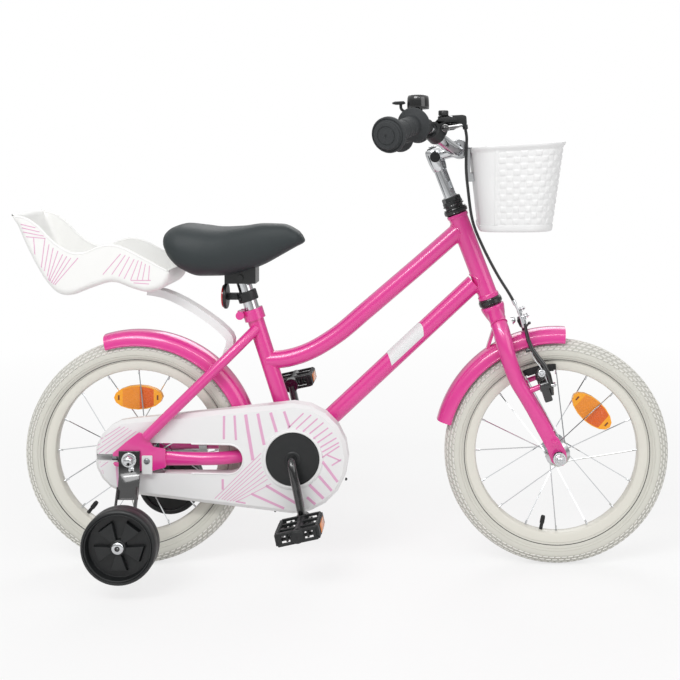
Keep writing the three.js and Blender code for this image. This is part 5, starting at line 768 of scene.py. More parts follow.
def pedal_piece(side, word, ex, ez):
    inner, width = 92.7, 74.0

    def place(part):
        verts, faces = part
        moved = []
        for u, v, w in verts:
            x = u * math.cos(PEDAL_TILT) - w * math.sin(PEDAL_TILT)
            z = u * math.sin(PEDAL_TILT) + w * math.cos(PEDAL_TILT)
            moved.append((ex + x, side * (inner + v), ez + z))
        return moved, [f[::side] if side < 0 else f for f in faces]

    parts, amber = [], []
    for end in (-1, 1):
        u0, u1 = sorted((end * 29.5, end * 36.5))
        parts.append(box((u0, 2, -9), (u1, width - 2, 9)))
        for k in range(7):
            v = 6 + k * 9.6
            for w in (-1, 1):
                tip = [(u0, v, w * 8.5), (u1, v, w * 8.5), (u1, v + 5, w * 8.5), (u0, v + 5, w * 8.5)]
                top = [(u0 + 1.6, v + 1.4, w * 11.8), (u1 - 1.6, v + 1.4, w * 11.8),
                       (u1 - 1.6, v + 3.6, w * 11.8), (u0 + 1.6, v + 3.6, w * 11.8)]
                parts.append((tip + top, BLOCK_FACES if w > 0 else [f[::-1] for f in BLOCK_FACES]))
        r0, r1 = sorted((end * 35.5, end * 38.0))
        amber.append(box((r0, 16, -7), (r1, 58, 7)))
        f0, f1 = sorted((end * 35.0, end * 37.2))
        parts += [box((f0, 13.5, -9), (f1, 16, 9)), box((f0, 58, -9), (f1, 60.5, 9)),
                  box((f0, 14, 7), (f1, 60, 9.2)), box((f0, 14, -9.2), (f1, 60, -7))]
    for v0, v1 in ((0, 4.5), (width - 4.5, width)):
        parts += [box((-33, v0, 6.5), (33, v1, 11)), box((-33, v0, -11), (33, v1, -6.5))]
        for u in (-31, -12, 7, 26):
            parts.append(box((u, v0, -8), (u + 5, v1, 8)))
    for v in (22, 48):
        parts += [box((-31, v, 4.5), (31, v + 4, 9.5)), box((-31, v, -9.5), (31, v + 4, -4.5))]
    for u in (-19, 15.5):
        parts.append(box((u, 3, -6), (u + 3.5, width - 3, 6)))
    barrel = spun([(6.4, 0), (10.5, 0), (11.2, 2), (10.2, 6), (9.2, 22), (9.2, 50), (10.2, 66), (11.8, 70),
                   (11.8, 74), (10.6, 75.4), (6.4, 75.4)], (0, 0, 0), (0, 1, 0), 40)
    parts.append(barrel)
    cap = spun([(0, 70), (9.6, 70), (9.6, 75.6), (8.6, 76.4), (0, 76.8)], (0, 0, 0), (0, 1, 0), 32)
    parts.append(cap)
    make(f"pedal_{word}_detailed", *merge(*[place(p) for p in parts]), f"pedal_{word}", "black",
         [f"pedal_{word}"], bevel=0.7, angle=40)
    make(f"pedal_{word}_reflectors", *merge(*[place(p) for p in amber]), f"pedal_{word}", "amber", bevel=0.6)


pedal_piece(-1, "right", -67.9, 101.6)
pedal_piece(1, "left", -109.0, 291.8)

# Handlebar, stem and controls
BAR_HALF = [(195.7, 24, 724.3), (190, 50, 722), (165, 90, 738), (145, 120, 757), (124, 165, 765),
            (102, 220, 755), (81, 272, 744.5)]
BAR = mirror(BAR_HALF, 1)[::-1] + mirror(BAR_HALF, -1)
pipe("handlebar_detailed", BAR, 11.1, "handlebar", "chrome", ["handlebar"], steps=140, sides=32)


def on_axis(z):
    return HEAD_TOP + HEAD * ((HEAD_TOP.z - z) / abs(HEAD.z))


def stem_piece(up_axis):
    head_top = on_axis(712)
    quill = spun([(0, 0), (11.1, 0), (11.1, 160), (0, 160)], on_axis(550), up_axis, 40)
    knob = spun([(11.2, -28), (12.6, -26), (13.6, -20), (14.8, -10), (15, 0), (15, 6), (14.4, 9.5),
                 (12.4, 12.6), (9.4, 13.4), (9.2, 12), (0, 12)], head_top, up_axis, 48)
    clamp_at = Vector((195.7, 0, 724.3))
    arm_path = [tuple(head_top.lerp(clamp_at, t)) for t in np.linspace(0, 1, 12)]
    arm = varied(arm_path, [(12.5, 13.5), (11, 12), (11.5, 14), (15, 17)], 28)
    clamp = spun([(11.3, -20), (16.6, -20), (17.6, -19), (17.6, 19), (16.6, 20), (11.3, 20)], clamp_at,
                 (0, 1, 0), 48)
    ears = plate(rounded([(205, 712), (214, 704), (221, 712), (212, 722)], 3), -14, 14)
    make("stem_detailed", *merge(quill, knob, arm, clamp, ears), "handlebar", "chrome", ["stem"], bevel=0.6)
    make("stem_plug", *spun([(0, 0), (9.1, 0), (9.1, 2.6), (8.2, 3.6), (0, 4.2)], head_top + up_axis * 11.6,
                            up_axis, 36), "handlebar", "black")
    make("stem_bolt", *bolt_head(head_top + up_axis * 15, up_axis, 5.0, 3.4, 6), "handlebar", "chrome")
    make("stem_window", *sweep([tuple(head_top + Vector((0.5, y, -2))) for y in (-15.8, -10)],
                               circle(9.0, 36), up=(0, 0, 1)), "handlebar", "black")
    make("clamp_bolt", *merge(bolt_head((213, -14, 713), (0, -1, 0), 4.6, 3.6, 28, dome=1),
                              bolt_head((213, 14, 713), (0, 1, 0), 4.8, 3.8, 6)), "handlebar", "chrome")


stem_piece(-HEAD)


def grip_piece(side, word):
    end, start = Vector((81, side * 272, 744.5)), Vector((124, side * 165, 765))
    axis = (end - start).normalized()
    base = end + axis * (4 - 112)
    profile = [(11.6, 0), (26, 0), (27.6, 1.0), (28, 3), (27.6, 5), (26.2, 6), (18.2, 7.2), (16.2, 9)]
    for k in range(4):
        low = 12 + k * 20.5
        profile += [(15.6, low), (15.8, low + 1), (15.8, low + 17.2), (15.4, low + 18), (14.6, low + 18.6),
                    (14.6, low + 19.6)]
    profile += [(16, 95), (24, 95.6), (27.2, 96.4), (28, 98), (28, 102.4), (27.2, 104.2), (25.4, 104.8),
                (24.8, 103.8), (23.8, 103.8), (23, 105.4), (21.6, 106.2), (21.3, 109.6), (20.4, 110.8),
                (15.2, 111.4), (14.6, 110.6), (13.6, 110.6), (13, 111.6), (2.2, 112), (1.8, 111), (0, 111),
                (0, 100), (11.6, 90)]
    make(f"grip_{word}_detailed", *spun(profile, base, axis, 72), "handlebar", "grip", [f"grip_{word}"],
         angle=45)


for side, word in SIDES:
    grip_piece(side, word)

bar_path = catmull(BAR, 400)


def bar_at(y):
    i = int(np.argmin(np.abs(bar_path[:, 1] - y)))
    t = Vector(bar_path[min(i + 1, 400)] - bar_path[max(i - 1, 0)]).normalized()
    return Vector(bar_path[i]), t


def band(y, width, radius):
    at, along = bar_at(y)
    ring = [(11.3, -width / 2), (radius - 0.6, -width / 2), (radius, -width / 2 + 0.6),
            (radius, width / 2 - 0.6), (radius - 0.6, width / 2), (11.3, width / 2)]
    return spun(ring, at, along, 48)


def bell_piece():
    bell_at = Vector((126, -136, 798))
    dome = spun([(0, -9), (16.6, -9), (17.6, -8.6), (18.1, -7), (18.1, -3), (17.8, 5), (17.3, 10),
                 (16.2, 13), (14.2, 14.6), (11, 15.1), (0, 15.3)], bell_at, (0, 0, 1), 64)
    make("bell_dome", *dome, "handlebar", "black_gloss", ["bell"])
    foot = varied([(126, -136, 789), (130, -136, 780), (137, -136, 770), (140, -136, 763)],
                  [(6, 6), (6.5, 7), (8, 9)], 24, up=(0, 1, 0))
    pin = spun([(0, 0), (1.4, 0), (1.4, 12), (0, 12)], (112.5, -136, 780.4), (0, 0, 1), 16)
    tongue = box((110.5, -139, 788), (128, -133, 790.5))
    make("bell_foot", *merge(foot, band(-136, 13, 13.6), pin, tongue), "handlebar", "black", bevel=0.4)


bell_piece()


def bell_lever_piece():
    neck = varied(catmull([(112.5, -136, 784.8), (104, -136, 785.6), (98.5, -136, 790), (97.5, -136, 797)],
                          20), [(2.6, 3.2), (2.4, 3.6), (2.4, 4.4)], 20, up=(0, 1, 0))
    paddle = plate(rounded([(83.5, 799.6), (88, 801.6), (103, 802.4), (106, 799), (101, 796.8), (90, 796.4),
                            (84, 797.6)], 1.6), -143, -129)
    hub = spun([(1.8, -3), (3.5, -3), (3.5, 3), (1.8, 3)], (112.5, -136, 784.8), (0, 0, 1), 24)
    make("bell_lever_detailed", *merge(neck, paddle, hub), "bell_lever", "black", ["bell_lever"], bevel=0.8)


bell_lever_piece()


def lever_bracket_piece():
    top_plate = plate(rounded([(150, 766), (160, 776), (178, 778.5), (190, 775), (191, 768.4), (168, 768.4),
                               (156, 764)], 3), -110, -89)
    low_plate = plate(rounded([(150, 764), (168, 759.6), (186, 759.6), (186, 756.2), (175, 755), (172, 747),
                               (160, 741), (148, 738)], 2.5), -110, -89)
    back = plate(rounded([(150, 764), (156, 771), (170, 770), (170, 758), (156, 752)], 2), -110, -89)
    inboard = plate(rounded([(168, 770), (188, 770), (190, 764), (188, 757), (168, 757)], 2), -94.6, -89)
    nose = plate(rounded([(160, 762), (172, 760), (196, 761), (203.5, 761.5), (207, 766), (206, 779.5),
                          (200, 781.5), (158, 779)], 2.5), -97.6, -85.5)
    barrel = spun([(2.6, -3), (4.4, -3), (4.4, 4), (3.6, 5), (2.6, 5)], (204, -91.6, 762), (0.12, 0, -1), 24)
    make("lever_bracket_detailed", *merge(band(-108.1, 22, 16), top_plate, low_plate, back, inboard, nose,
                                          barrel), "handlebar", "black", ["brake_lever_bracket"], bevel=0.8)
    make("lever_knob", *merge(spun([(0, 0), (3, 0), (3, 5), (0, 5)], (167.6, -101, 776), (0, 0, 1), 16),
                              spun([(0, 3.5), (7.6, 3.5), (8.4, 4.4), (8.4, 11), (7.4, 12.4), (0, 12.8)],
                                   (167.6, -101, 776), (0, 0, 1), 10)), "handlebar", "black")
    make("lever_pin", *merge(bolt_head((179.6, -104.8, 777.2), (0, 0, 1), 3.6, 2.4, 24, dome=1),
                             bolt_head((160, -110.5, 747), (0, -1, 0), 3.4, 2.4, 6)), "handlebar", "chrome")


lever_bracket_piece()


def brake_lever_piece():
    lever_route = [(179.6, -104.8, 764), (192.6, -129.3, 764), (187.4, -165.7, 760.5), (169.7, -204.1, 757)]
    blade = varied(catmull(lever_route, 50), [(6.6, 3.1), (6.6, 3.1), (6.2, 3.1), (6.0, 3.1), (5.8, 3.1),
                                              (5.8, 3.3)], 28, up=(0, 0, 1))
    end_ball = spun([(0, -6)] + [(6 * math.cos(t), 6 * math.sin(t))
                                 for t in np.linspace(-1.4, 1.4, 13)] + [(0, 6)], lever_route[-1],
                    (0, 0, 1), 32)
    knuckle = spun([(2.3, -3.1), (6.6, -3.1), (6.6, 3.1), (2.3, 3.1)], (179.6, -104.8, 764), (0, 0, 1), 32)
    make("brake_lever_detailed", *merge(blade, end_ball, knuckle), "brake_lever", "black_gloss",
         ["brake_lever"], bevel=0.3)


brake_lever_piece()

# Basket
BASKET_LOW, BASKET_REAR_TOP, BASKET_FRONT_TOP = 585.0, 727.0, 737.0


def basket_plan(share, inset, count):
    """Points round the basket's wall at a share of its height: tight rear corners, wider front ones."""
    rear, front = 230 + (215 - 230) * share + inset, 352 + (371 - 352) * share - inset
    half = 95 + (118 - 95) * share - inset
    corner = {"rear": 30 - inset, "front": 46 - inset}
    path = [(rear, 0), (rear, half - corner["rear"])]
    path += [(rear + corner["rear"] * (1 - math.cos(a)), half - corner["rear"] * (1 - math.sin(a)))
             for a in np.linspace(0, math.pi / 2, 12)[1:]]
    path += [(front - corner["front"] * (1 - math.sin(a)), half - corner["front"] * (1 - math.cos(a)))
             for a in np.linspace(0, math.pi / 2, 16)]
    path += [(front, 0)]
    path = np.array(path + [(x, -y) for x, y in reversed(path[1:-1])] + [path[0]])
    along = np.concatenate([[0], np.cumsum(np.linalg.norm(np.diff(path, axis=0), axis=1))])
    want = np.linspace(0, along[-1], count + 1)[:-1]
    return np.stack([np.interp(want, along, path[:, k]) for k in (0, 1)], axis=1)


def basket_level(share, inset, count, rise=0.0):
    plan = basket_plan(share, inset, count)
    rear, front = plan[:, 0].min(), plan[:, 0].max()
    tops = BASKET_REAR_TOP + (BASKET_FRONT_TOP - BASKET_REAR_TOP) * (plan[:, 0] - rear) / (front - rear)
    height = BASKET_LOW + (tops - BASKET_LOW) * share + rise
    return np.column_stack([plan, height])


def weave(u, v):
    """Relief of a plain weave, in millimetres, with u and v counted in strands."""
    i, j = math.floor(u), math.floor(v)
    fu, fv = 2 * (u - i) - 1, 2 * (v - j) - 1
    if (i + j) % 2:
        return 1.9 * (1 - abs(fu) ** 3) ** 0.6 * (1 - abs(fv) ** 4)
    return 0.7 * (1 - fv * fv) * (1 - abs(fu) ** 4)


def basket_piece():
    count, rows, low, high = 560, 96, 0.085, 0.93
    strands, courses = 58, 12
    rings = [basket_level(0, 4, count, 0.0), basket_level(0, 0.6, count, 0.0),
             basket_level(0, -1.2, count, 1.2), basket_level(0.05, -1.6, count),
             basket_level(low - 0.012, -1.2, count), basket_level(low - 0.006, 0.3, count)]
    for t in np.linspace(low, high, rows):
        flat = basket_level(t, 0, count)
        out = basket_level(t, -1, count) - flat
        v = (t - low) / (high - low) * courses
        edge = min(1, (t - low) / 0.01, (high - t) / 0.01)
        for k in range(count):
            x = flat[k, 0]
            lift = weave(k * strands / count, v) * edge - 0.4 if x > 258 else 0.9 if x > 253 else 0.0
            flat[k] += out[k] * lift
        rings.append(flat)
    rings += [basket_level(high + 0.008, -0.8, count), basket_level(0.955, -1.2, count),
              basket_level(0.965, -3.2, count), basket_level(0.985, -4, count),
              basket_level(1, -3.6, count, -0.8), basket_level(1, -2.2, count, 0),
              basket_level(1, 0.5, count, 0), basket_level(1, 2.2, count, -0.8),
              basket_level(0.97, 3, count), basket_level(0.5, 3, count), basket_level(0.06, 3, count),
              basket_level(0.035, 4.2, count), basket_level(0.02, 9, count)]
    for ring in rings:
        ring[:, 0] = np.maximum(ring[:, 0], 214.5)
    verts = [tuple(p) for ring in rings for p in ring]
    faces = [(r * count + k, r * count + (k + 1) % count, (r + 1) * count + (k + 1) % count,
              (r + 1) * count + k) for r in range(len(rings) - 1) for k in range(count)]
    faces += [tuple(range(count)), tuple(range((len(rings) - 1) * count, len(rings) * count))[::-1]]
    faces = [f[::-1] for f in faces]
    make("basket_detailed", verts, faces, "handlebar", "white", ["basket"], angle=50)


basket_piece()

# Brake cable


def brake_cable_piece():
    housing = [(203.6, -91.6, 765), (205, -91.4, 755), (206.6, -90, 744), (206, -87, 718), (206, -83, 690),
               (209, -77, 658), (218, -66, 600), (234, -61, 560), (260, -61, 510), (280, -62, 478),
               (289, -63, 462)]
    pipe("brake_cable_housing", housing, 2.5, "steering", "cable", ["brake_cable"], steps=150, sides=16)
    end_dir = Vector((295 - 280, -2, 448 - 478)).normalized()
    ferrule = spun([(0, -6), (3.2, -6), (3.4, -5), (3.4, 2), (2.6, 3), (1.2, 3.4), (0, 3.4)],
                   (289, -63, 462), end_dir, 24)
    noodle = sweep(catmull([(290, -63, 460), (295, -63.5, 449), (299, -62.5, 438), (302, -60, 428),
                            (303.8, -56, 420.5), (303.8, -50, 419.8)], 40), circle(1.9, 16))
    wire = sweep([(303.8, -56, 419.8), (303.8, 0, 419.8), (303.8, 56, 419.8)], circle(0.9, 12), up=(0, 0, 1))
    knot = spun([(0, 0), (2.4, 0), (2.4, 3.6), (0, 4)], (303.8, 50.5, 419.8), (0, 1, 0), 20)
    make("brake_noodle", *merge(ferrule, noodle, wire, knot), "steering", "chrome")
    make("brake_bellows", *spun([(1.2, -30)] + [(3.6 + 0.9 * math.cos(k * math.pi), -30 + k * 2.2)
                                                for k in range(25)] + [(1.2, 24)], (303.8, 0, 419.8),
                                (0, 1, 0), 24), "steering", "rubber")


brake_cable_piece()

# Front brake
BRAKE_UP, BRAKE_AHEAD = Vector((-0.3142, 0, 0.9494)), Vector((0.9494, 0, 0.3142))
BRAKE_PIVOT = Vector((342.6, 0, 318.5))


def on_brake(up, ahead, y):
    return tuple(BRAKE_PIVOT + BRAKE_UP * up + BRAKE_AHEAD * ahead + Vector((0, y, 0)))


def brake_block(up, ahead, low, high, radius=3.0):
    """A block with a rounded outline, given by its middle and half sizes in the brake's own frame."""
    (u, half_u), (a, half_a) = up, ahead
    corners = [(-half_u, -half_a), (half_u, -half_a), (half_u, half_a), (-half_u, half_a)]
    outline = []
    for x, z in rounded([(p[1], p[0]) for p in corners], radius, 5):
        place = on_brake(u + z, a + x, 0)
        outline.append((place[0], place[2]))
    return plate(outline, min(low, high), max(low, high))


def brake_side(name, side):
    body = f"brake_arm_{name}"
    y = side * 42
    route = catmull([on_brake(u, a, y) for u, a in [(-20, 6.5), (-8, 9), (10, 11), (26, 10.5), (40, 7.5),
                                                    (52, 2), (62, -1), (84, -3), (106, -0.5), (118, 1)]], 8)
    arm = varied(route, [(3.2, 3.4), (4.6, 4.6), (5.0, 4.6), (4.6, 3.8), (4.6, 3.6), (4.4, 3.4), (4.0, 3.2),
                         (3.6, 3.0), (3.0, 3.0), (2.6, 2.8)], sides=20)
    hub = spun([(0, -8.5), (7.6, -8.5), (8.6, -7.5), (8.6, 6.5), (7.8, 7.5), (0, 7.5)],
               on_brake(0, 0, side * 40), BRAKE_AHEAD, 40)
    spring_case = brake_block((-14, 14), (-2, 7), side * 35, side * 48, 3.0)
    ledge = brake_block((-2, 4), (-1, 9), side * 34, side * 49, 2.0)
    holder = spun([(0, 0), (8.5, 0), (9.5, 1), (9.5, 5), (8.5, 6), (0, 6)], on_brake(22, 1, side * 40),
                  (0, side, 0), 40)
    stub = spun([(0, 0), (3.2, 0), (3.2, 9), (2.6, 10), (0, 10)], on_brake(66, -3, side * 42), -BRAKE_AHEAD,
                20)
    ball = spun([(2.8 * math.sin(t), -2.8 * math.cos(t)) for t in np.linspace(0, math.pi, 9)],
                on_brake(110, 8, y), (0, side, 0), 20)
    ball_arm = sweep([on_brake(105, 0, y), on_brake(110, 7, y)], circle(1.8, 12))
    make(f"brake_arm_body_{name}", *merge(arm, hub, spring_case, ledge, holder, stub, ball, ball_arm), body,
         "black_gloss", [f"brake_arm_{name}"], angle=40, bevel=0.4)
    pad_route = [around(366, 196, 150.5, a) for a in np.linspace(91, 113, 13)]
    pad = sweep([(x, side * 21, z) for x, z in pad_route], [(-4.5, -5), (4.5, -5), (5, -2), (4, 5), (-4, 5),
                                                            (-5, -2)], up=(0, 1, 0))
    back = sweep([(x, side * 27.5, z) for x, z in pad_route[1:-1]],
                 [(-6, -2.6), (6, -2.6), (5, 2.2), (-5, 2.2)], up=(0, 1, 0))
    make(f"brake_pad_{name}", *merge(pad, back), body, "rubber", angle=30, bevel=0.5)
    stem = spun([(0, 0), (3, 0), (3, 24), (0, 24)], on_brake(26, -2, side * 20), (0, side, 0), 20)
    washer = spun([(3.6, 0), (6.2, 0), (6.2, 0.8), (5.6, 1.2), (3.6, 1.2)], on_brake(22, 1, side * 46),
                  (0, side, 0), 32)
    nut = bolt_head(on_brake(22, 1, side * 46), (0, side, 0), 3.2, 2.4, sides=6)
    pivot_bolt = bolt_head(on_brake(0, 9, side * 40), BRAKE_AHEAD, 4.4, 5)
    pivot_washer = spun([(0, 0), (6.4, 0), (6.4, 1.2), (0, 1.2)], on_brake(0, 8.4, side * 40), BRAKE_AHEAD,
                        32)
    low_bolt = spun([(0, 0), (2.4, 0), (2.4, 9), (0, 9)], on_brake(-3, 10, side * 46), BRAKE_AHEAD, 16)
    low_nut = bolt_head(on_brake(-3, 14, side * 46), BRAKE_AHEAD, 4.2, 3.4)
    anchor = sweep([on_brake(112, 0, y), on_brake(124, 1, y)], circle(3.4, 20))
    anchor_ring = spun([(0, 0), (4.8, 0), (4.8, 3), (0, 3)], on_brake(118, 0.6, y), BRAKE_UP, 28)
    anchor_bolt = spun([(0, 0), (2.0, 0), (2.0, 14), (0, 14)], on_brake(124, -2, y), BRAKE_AHEAD, 16)
    anchor_nuts = [bolt_head(on_brake(124, a, y), BRAKE_AHEAD, 4.0, 2.2) for a in (2.5, 7.5)]
    spring = sweep(catmull([on_brake(-12, 3, side * 47), on_brake(4, 5.4, side * 47),
                            on_brake(30, 3, side * 46), on_brake(52, -4.5, side * 46),
                            on_brake(62, -4, side * 45)], 8), circle(0.85, 10))
    make(f"brake_fittings_{name}", *merge(stem, washer, nut, pivot_bolt, pivot_washer, low_bolt, low_nut,
                                          anchor, anchor_ring, anchor_bolt, *anchor_nuts, spring), body,
         "chrome", angle=30)


for side, name in SIDES:
    brake_side(name, side)

# Bolts of the crown and the front mudguard
make("crown_bolts", *merge(bolt_head((257.5, 0, 415), -BRAKE_AHEAD, 6.0, 5),
                           bolt_head((289, 0, 424), BRAKE_AHEAD, 6.5, 6, sides=24, dome=1),
                           spun([(0, 0), (8, 0), (8, 1.4), (0, 1.4)], (288, 0, 423.6), BRAKE_AHEAD, 32)),
     "steering", "chrome")

# Reflectors of the wheels


def sum_of(tree, operation, *values):
    """A maths node whose inputs are numbers or other nodes' outputs."""
    node = tree.nodes.new("ShaderNodeMath")
    node.operation = operation
    for socket, value in zip(node.inputs, values):
        if isinstance(value, (int, float)):
            socket.default_value = value
        else:
            tree.links.new(value, socket)
    return node.outputs[0]


def reflector_look(node, centre, along, half_length=42.5, half_height=21.0):
    """A prismatic lens in two shades, inside a paler frame, with the clip slot at each end painted dark brown
    as painted shade.
    """
    look = material(f"{node}_lens", "EC8408", 0.2, coat=0.3)
    tree = look.node_tree
    shader = tree.nodes["Principled BSDF"]
    place = tree.nodes.new("ShaderNodeTexCoord").outputs["Object"]
    local = nodes[node].matrix_world.inverted() @ (Vector(centre) * MM)
    shares = []
    for direction, half in ((Vector(along), half_length), (Vector((-along[2], 0, along[0])), half_height)):
        dot = tree.nodes.new("ShaderNodeVectorMath")
        dot.operation = "DOT_PRODUCT"
        dot.inputs[1].default_value = direction / (half * MM)
        tree.links.new(place, dot.inputs[0])
        shares.append(sum_of(tree, "SUBTRACT", dot.outputs["Value"], local.dot(direction) / (half * MM)))
    u, v = shares
    reach = sum_of(tree, "ADD", sum_of(tree, "MULTIPLY", u, u), sum_of(tree, "MULTIPLY", v, v))
    ends = sum_of(tree, "GREATER_THAN", sum_of(tree, "ABSOLUTE", u), 0.64)
    rim = sum_of(tree, "GREATER_THAN", reach, 0.84)
    frame_share = sum_of(tree, "MAXIMUM", ends, rim)
    deep = sum_of(tree, "GREATER_THAN", u, 0.06)
    # The clip slot at each end is painted dark brown: painted shade inside the slot.
    beyond = sum_of(tree, "SUBTRACT", sum_of(tree, "ABSOLUTE", u), 0.8)
    clip = sum_of(tree, "MULTIPLY", sum_of(tree, "LESS_THAN", sum_of(tree, "ABSOLUTE", beyond), 0.035),
                  sum_of(tree, "LESS_THAN", sum_of(tree, "ABSOLUTE", v), 0.2))
    colour = None
    # Two tones of the lens, then the paler frame, then the painted shade of the clip slots.
    for share, first, second in ((deep, "E88A1E", "DB5F14"), (frame_share, None, "F2A20C"),
                                 (clip, None, "6E2E08")):
        mix = tree.nodes.new("ShaderNodeMix")
        mix.data_type = "RGBA"
        mix.inputs["B"].default_value = srgb(second)
        if first:
            mix.inputs["A"].default_value = srgb(first)
        else:
            tree.links.new(colour, mix.inputs["A"])
        tree.links.new(share, mix.inputs["Factor"])
        colour = mix.outputs["Result"]
    tree.links.new(colour, shader.inputs["Base Color"])
    cells = tree.nodes.new("ShaderNodeTexVoronoi")
    cells.inputs["Scale"].default_value = 520
    tree.links.new(place, cells.inputs["Vector"])
    lift = tree.nodes.new("ShaderNodeBump")
    lift.inputs["Distance"].default_value = 0.001
    tree.links.new(sum_of(tree, "SUBTRACT", 0.8, sum_of(tree, "MULTIPLY", frame_share, 0.7)),
                   lift.inputs["Strength"])
    tree.links.new(cells.outputs["Distance"], lift.inputs["Height"])
    tree.links.new(lift.outputs["Normal"], shader.inputs["Normal"])
    nodes[node].data.materials[0] = look


for node, x, angle in (("front_wheel_reflector", FRONT, 48), ("rear_wheel_reflector", REAR, 90)):
    cx, cz = around(x, AXLE, 93, angle)
    turn = math.radians(angle)
    reflector_look(node, (cx, 0, cz), (math.sin(turn), 0, -math.cos(turn)))

# Headset
for label, z, radii in (("upper", 620, (19.5, 18.6, 17.4)), ("lower", 462, (19.2, 18.2))):
    for i, radius in enumerate(radii):
        bead(f"{label}_headset_ring_{i}", on_axis(z + (i - 1) * (6.5 if label == "upper" else 7)), -HEAD,
             radius, 1.5, "black_gloss", "frame")

# Plain patch on the down tube, and the axle nuts


def tube_patch(name, side, upper=(0.497, 0.672), lower=(0.478, 0.660), wrap=(-20, 92)):
    """A plain white film round part of the tube, with leaning ends; the shares run along the tube."""
    along = (TUBE_TOP - TUBE_LOW).normalized()
    out = Vector((0, side, 0))
    above = Vector((-along.z, 0, along.x))
    rows, columns = 26, 30
    verts = []
    for lift in (-0.3, 0.5):
        for i in range(rows):
            turn = wrap[0] + (wrap[1] - wrap[0]) * i / (rows - 1)
            share = i / (rows - 1)
            bulge = 0.012 * math.sin(math.pi * share)
            first = lower[0] + (upper[0] - lower[0]) * share + bulge * 0.6
            last = lower[1] + (upper[1] - lower[1]) * share + bulge * 1.5
            face = out * math.cos(math.radians(turn)) + above * math.sin(math.radians(turn))
            for j in range(columns):
                at = TUBE_LOW.lerp(TUBE_TOP, first + (last - first) * j / (columns - 1))
                verts.append(tuple(at + face * (TUBE_RADIUS + lift)))
    layer = rows * columns
    faces = []
    for i in range(rows - 1):
        for j in range(columns - 1):
            a = i * columns + j
            faces += [(a, a + 1, a + columns + 1, a + columns), tuple(layer + k
                                                                      for k in (a + columns,
                                                                                a + columns + 1, a + 1, a))]
    edge = [j for j in range(columns)] + [i * columns + columns - 1 for i in range(1, rows)]
    edge += [(rows - 1) * columns + j for j in range(columns - 2, -1, -1)] + [i * columns
                                                                              for i in range(rows - 2, 0,
                                                                                             -1)]
    for a, b in zip(edge, edge[1:] + edge[:1]):
        faces.append((a, b, layer + b, layer + a))
    make(name, verts, faces, "frame", "bare_white", angle=60)


for side, name in SIDES:
    tube_patch(f"tube_patch_{name}", side)
    washer = spun([(5, 0), (11, 0), (11.4, 0.5), (11, 1.2), (5, 1.2)], (FRONT, side * 59.4, AXLE),
                  (0, side, 0), 48)
    nut = bolt_head((FRONT, side * 60.4, AXLE), (0, side, 0), 8.6, 5.5)
    cap = bolt_head((FRONT, side * 65.6, AXLE), (0, side, 0), 5.6, 4.0, sides=32, dome=1)
    make(f"front_axle_nut_{name}", *merge(washer, nut, cap), "steering", "chrome", bevel=0.25)
    holes = [spun([(0, 0), (2.1, 0), (1.4, 0.9), (0, 1.0)], (x, side * 58.6, z), (0, side, 0), 16) for x,
             z in ((355.5, 224), (360.5, 226))]
    make(f"fork_end_eyes_{name}", *merge(*holes), "steering", "pink")

# Reflector under the saddle


def saddle_reflector_piece():
    post_at, post_up = Vector((-175.4, 0, 466.4)), Vector((-0.3041, 0, 0.9526))
    post_ring = spun([(12.6, -9), (16.5, -9), (17.5, -8), (17.5, 8), (16.5, 9), (12.6, 9)], post_at,
                     post_up, 40)
    post_screw = bolt_head((-186, -12, 462), (0, -1, 0), 3.4, 5, 24, dome=1)
    lens_arm = box((-212, -5, 460), (-190, 5, 472))
    lens_back = spun([(0, 0), (21.5, 0), (22.4, 1), (22.4, 4.5), (21.8, 5.2), (0, 5.2)], (-210, 0, 466.4),
                     (-1, 0, 0), 48)
    lens_rib = spun([(20.4, 5), (20.4 + 0.8, 5.9), (20.4 + 1.6, 5)], (-210, 0, 466.4), (-1, 0, 0), 48)
    make("saddle_reflector_body", *merge(post_ring, post_screw, lens_arm, lens_back, lens_rib), "saddle",
         "black", ["saddle_reflector"], bevel=0.5)
    make("saddle_reflector_lens", *spun([(0, 0), (19.8, 0), (19.8, 2.6), (19, 3.4), (0, 3.9)],
                                        (-215.1, 0, 466.4), (-1, 0, 0), 48), "saddle", "red", angle=20)


saddle_reflector_piece()

# Stabiliser brackets


def ribbon(path, low, high, thick):
    """A strip of steel bent across the bicycle, between two offsets along it from the path."""
    verts, faces = [], []
    points = [Vector(p) for p in path]
    for i, p in enumerate(points):
        t = (points[min(i + 1, len(points) - 1)] - points[max(i - 1, 0)]).normalized()
        n = Vector((0, -t.z, t.y)).normalized()
        verts += [tuple(p + n * k * thick / 2 + Vector((dx, 0, 0))) for dx,
                  k in ((low, -1), (high, -1), (high, 1), (low, 1))]
        if i:
            a = 4 * (i - 1)
            faces += [(a + j, a + (j + 1) % 4, a + 4 + (j + 1) % 4, a + 4 + j) for j in range(4)]
    end = 4 * (len(points) - 1)
    return verts, faces + [(3, 2, 1, 0), (end, end + 1, end + 2, end + 3)]


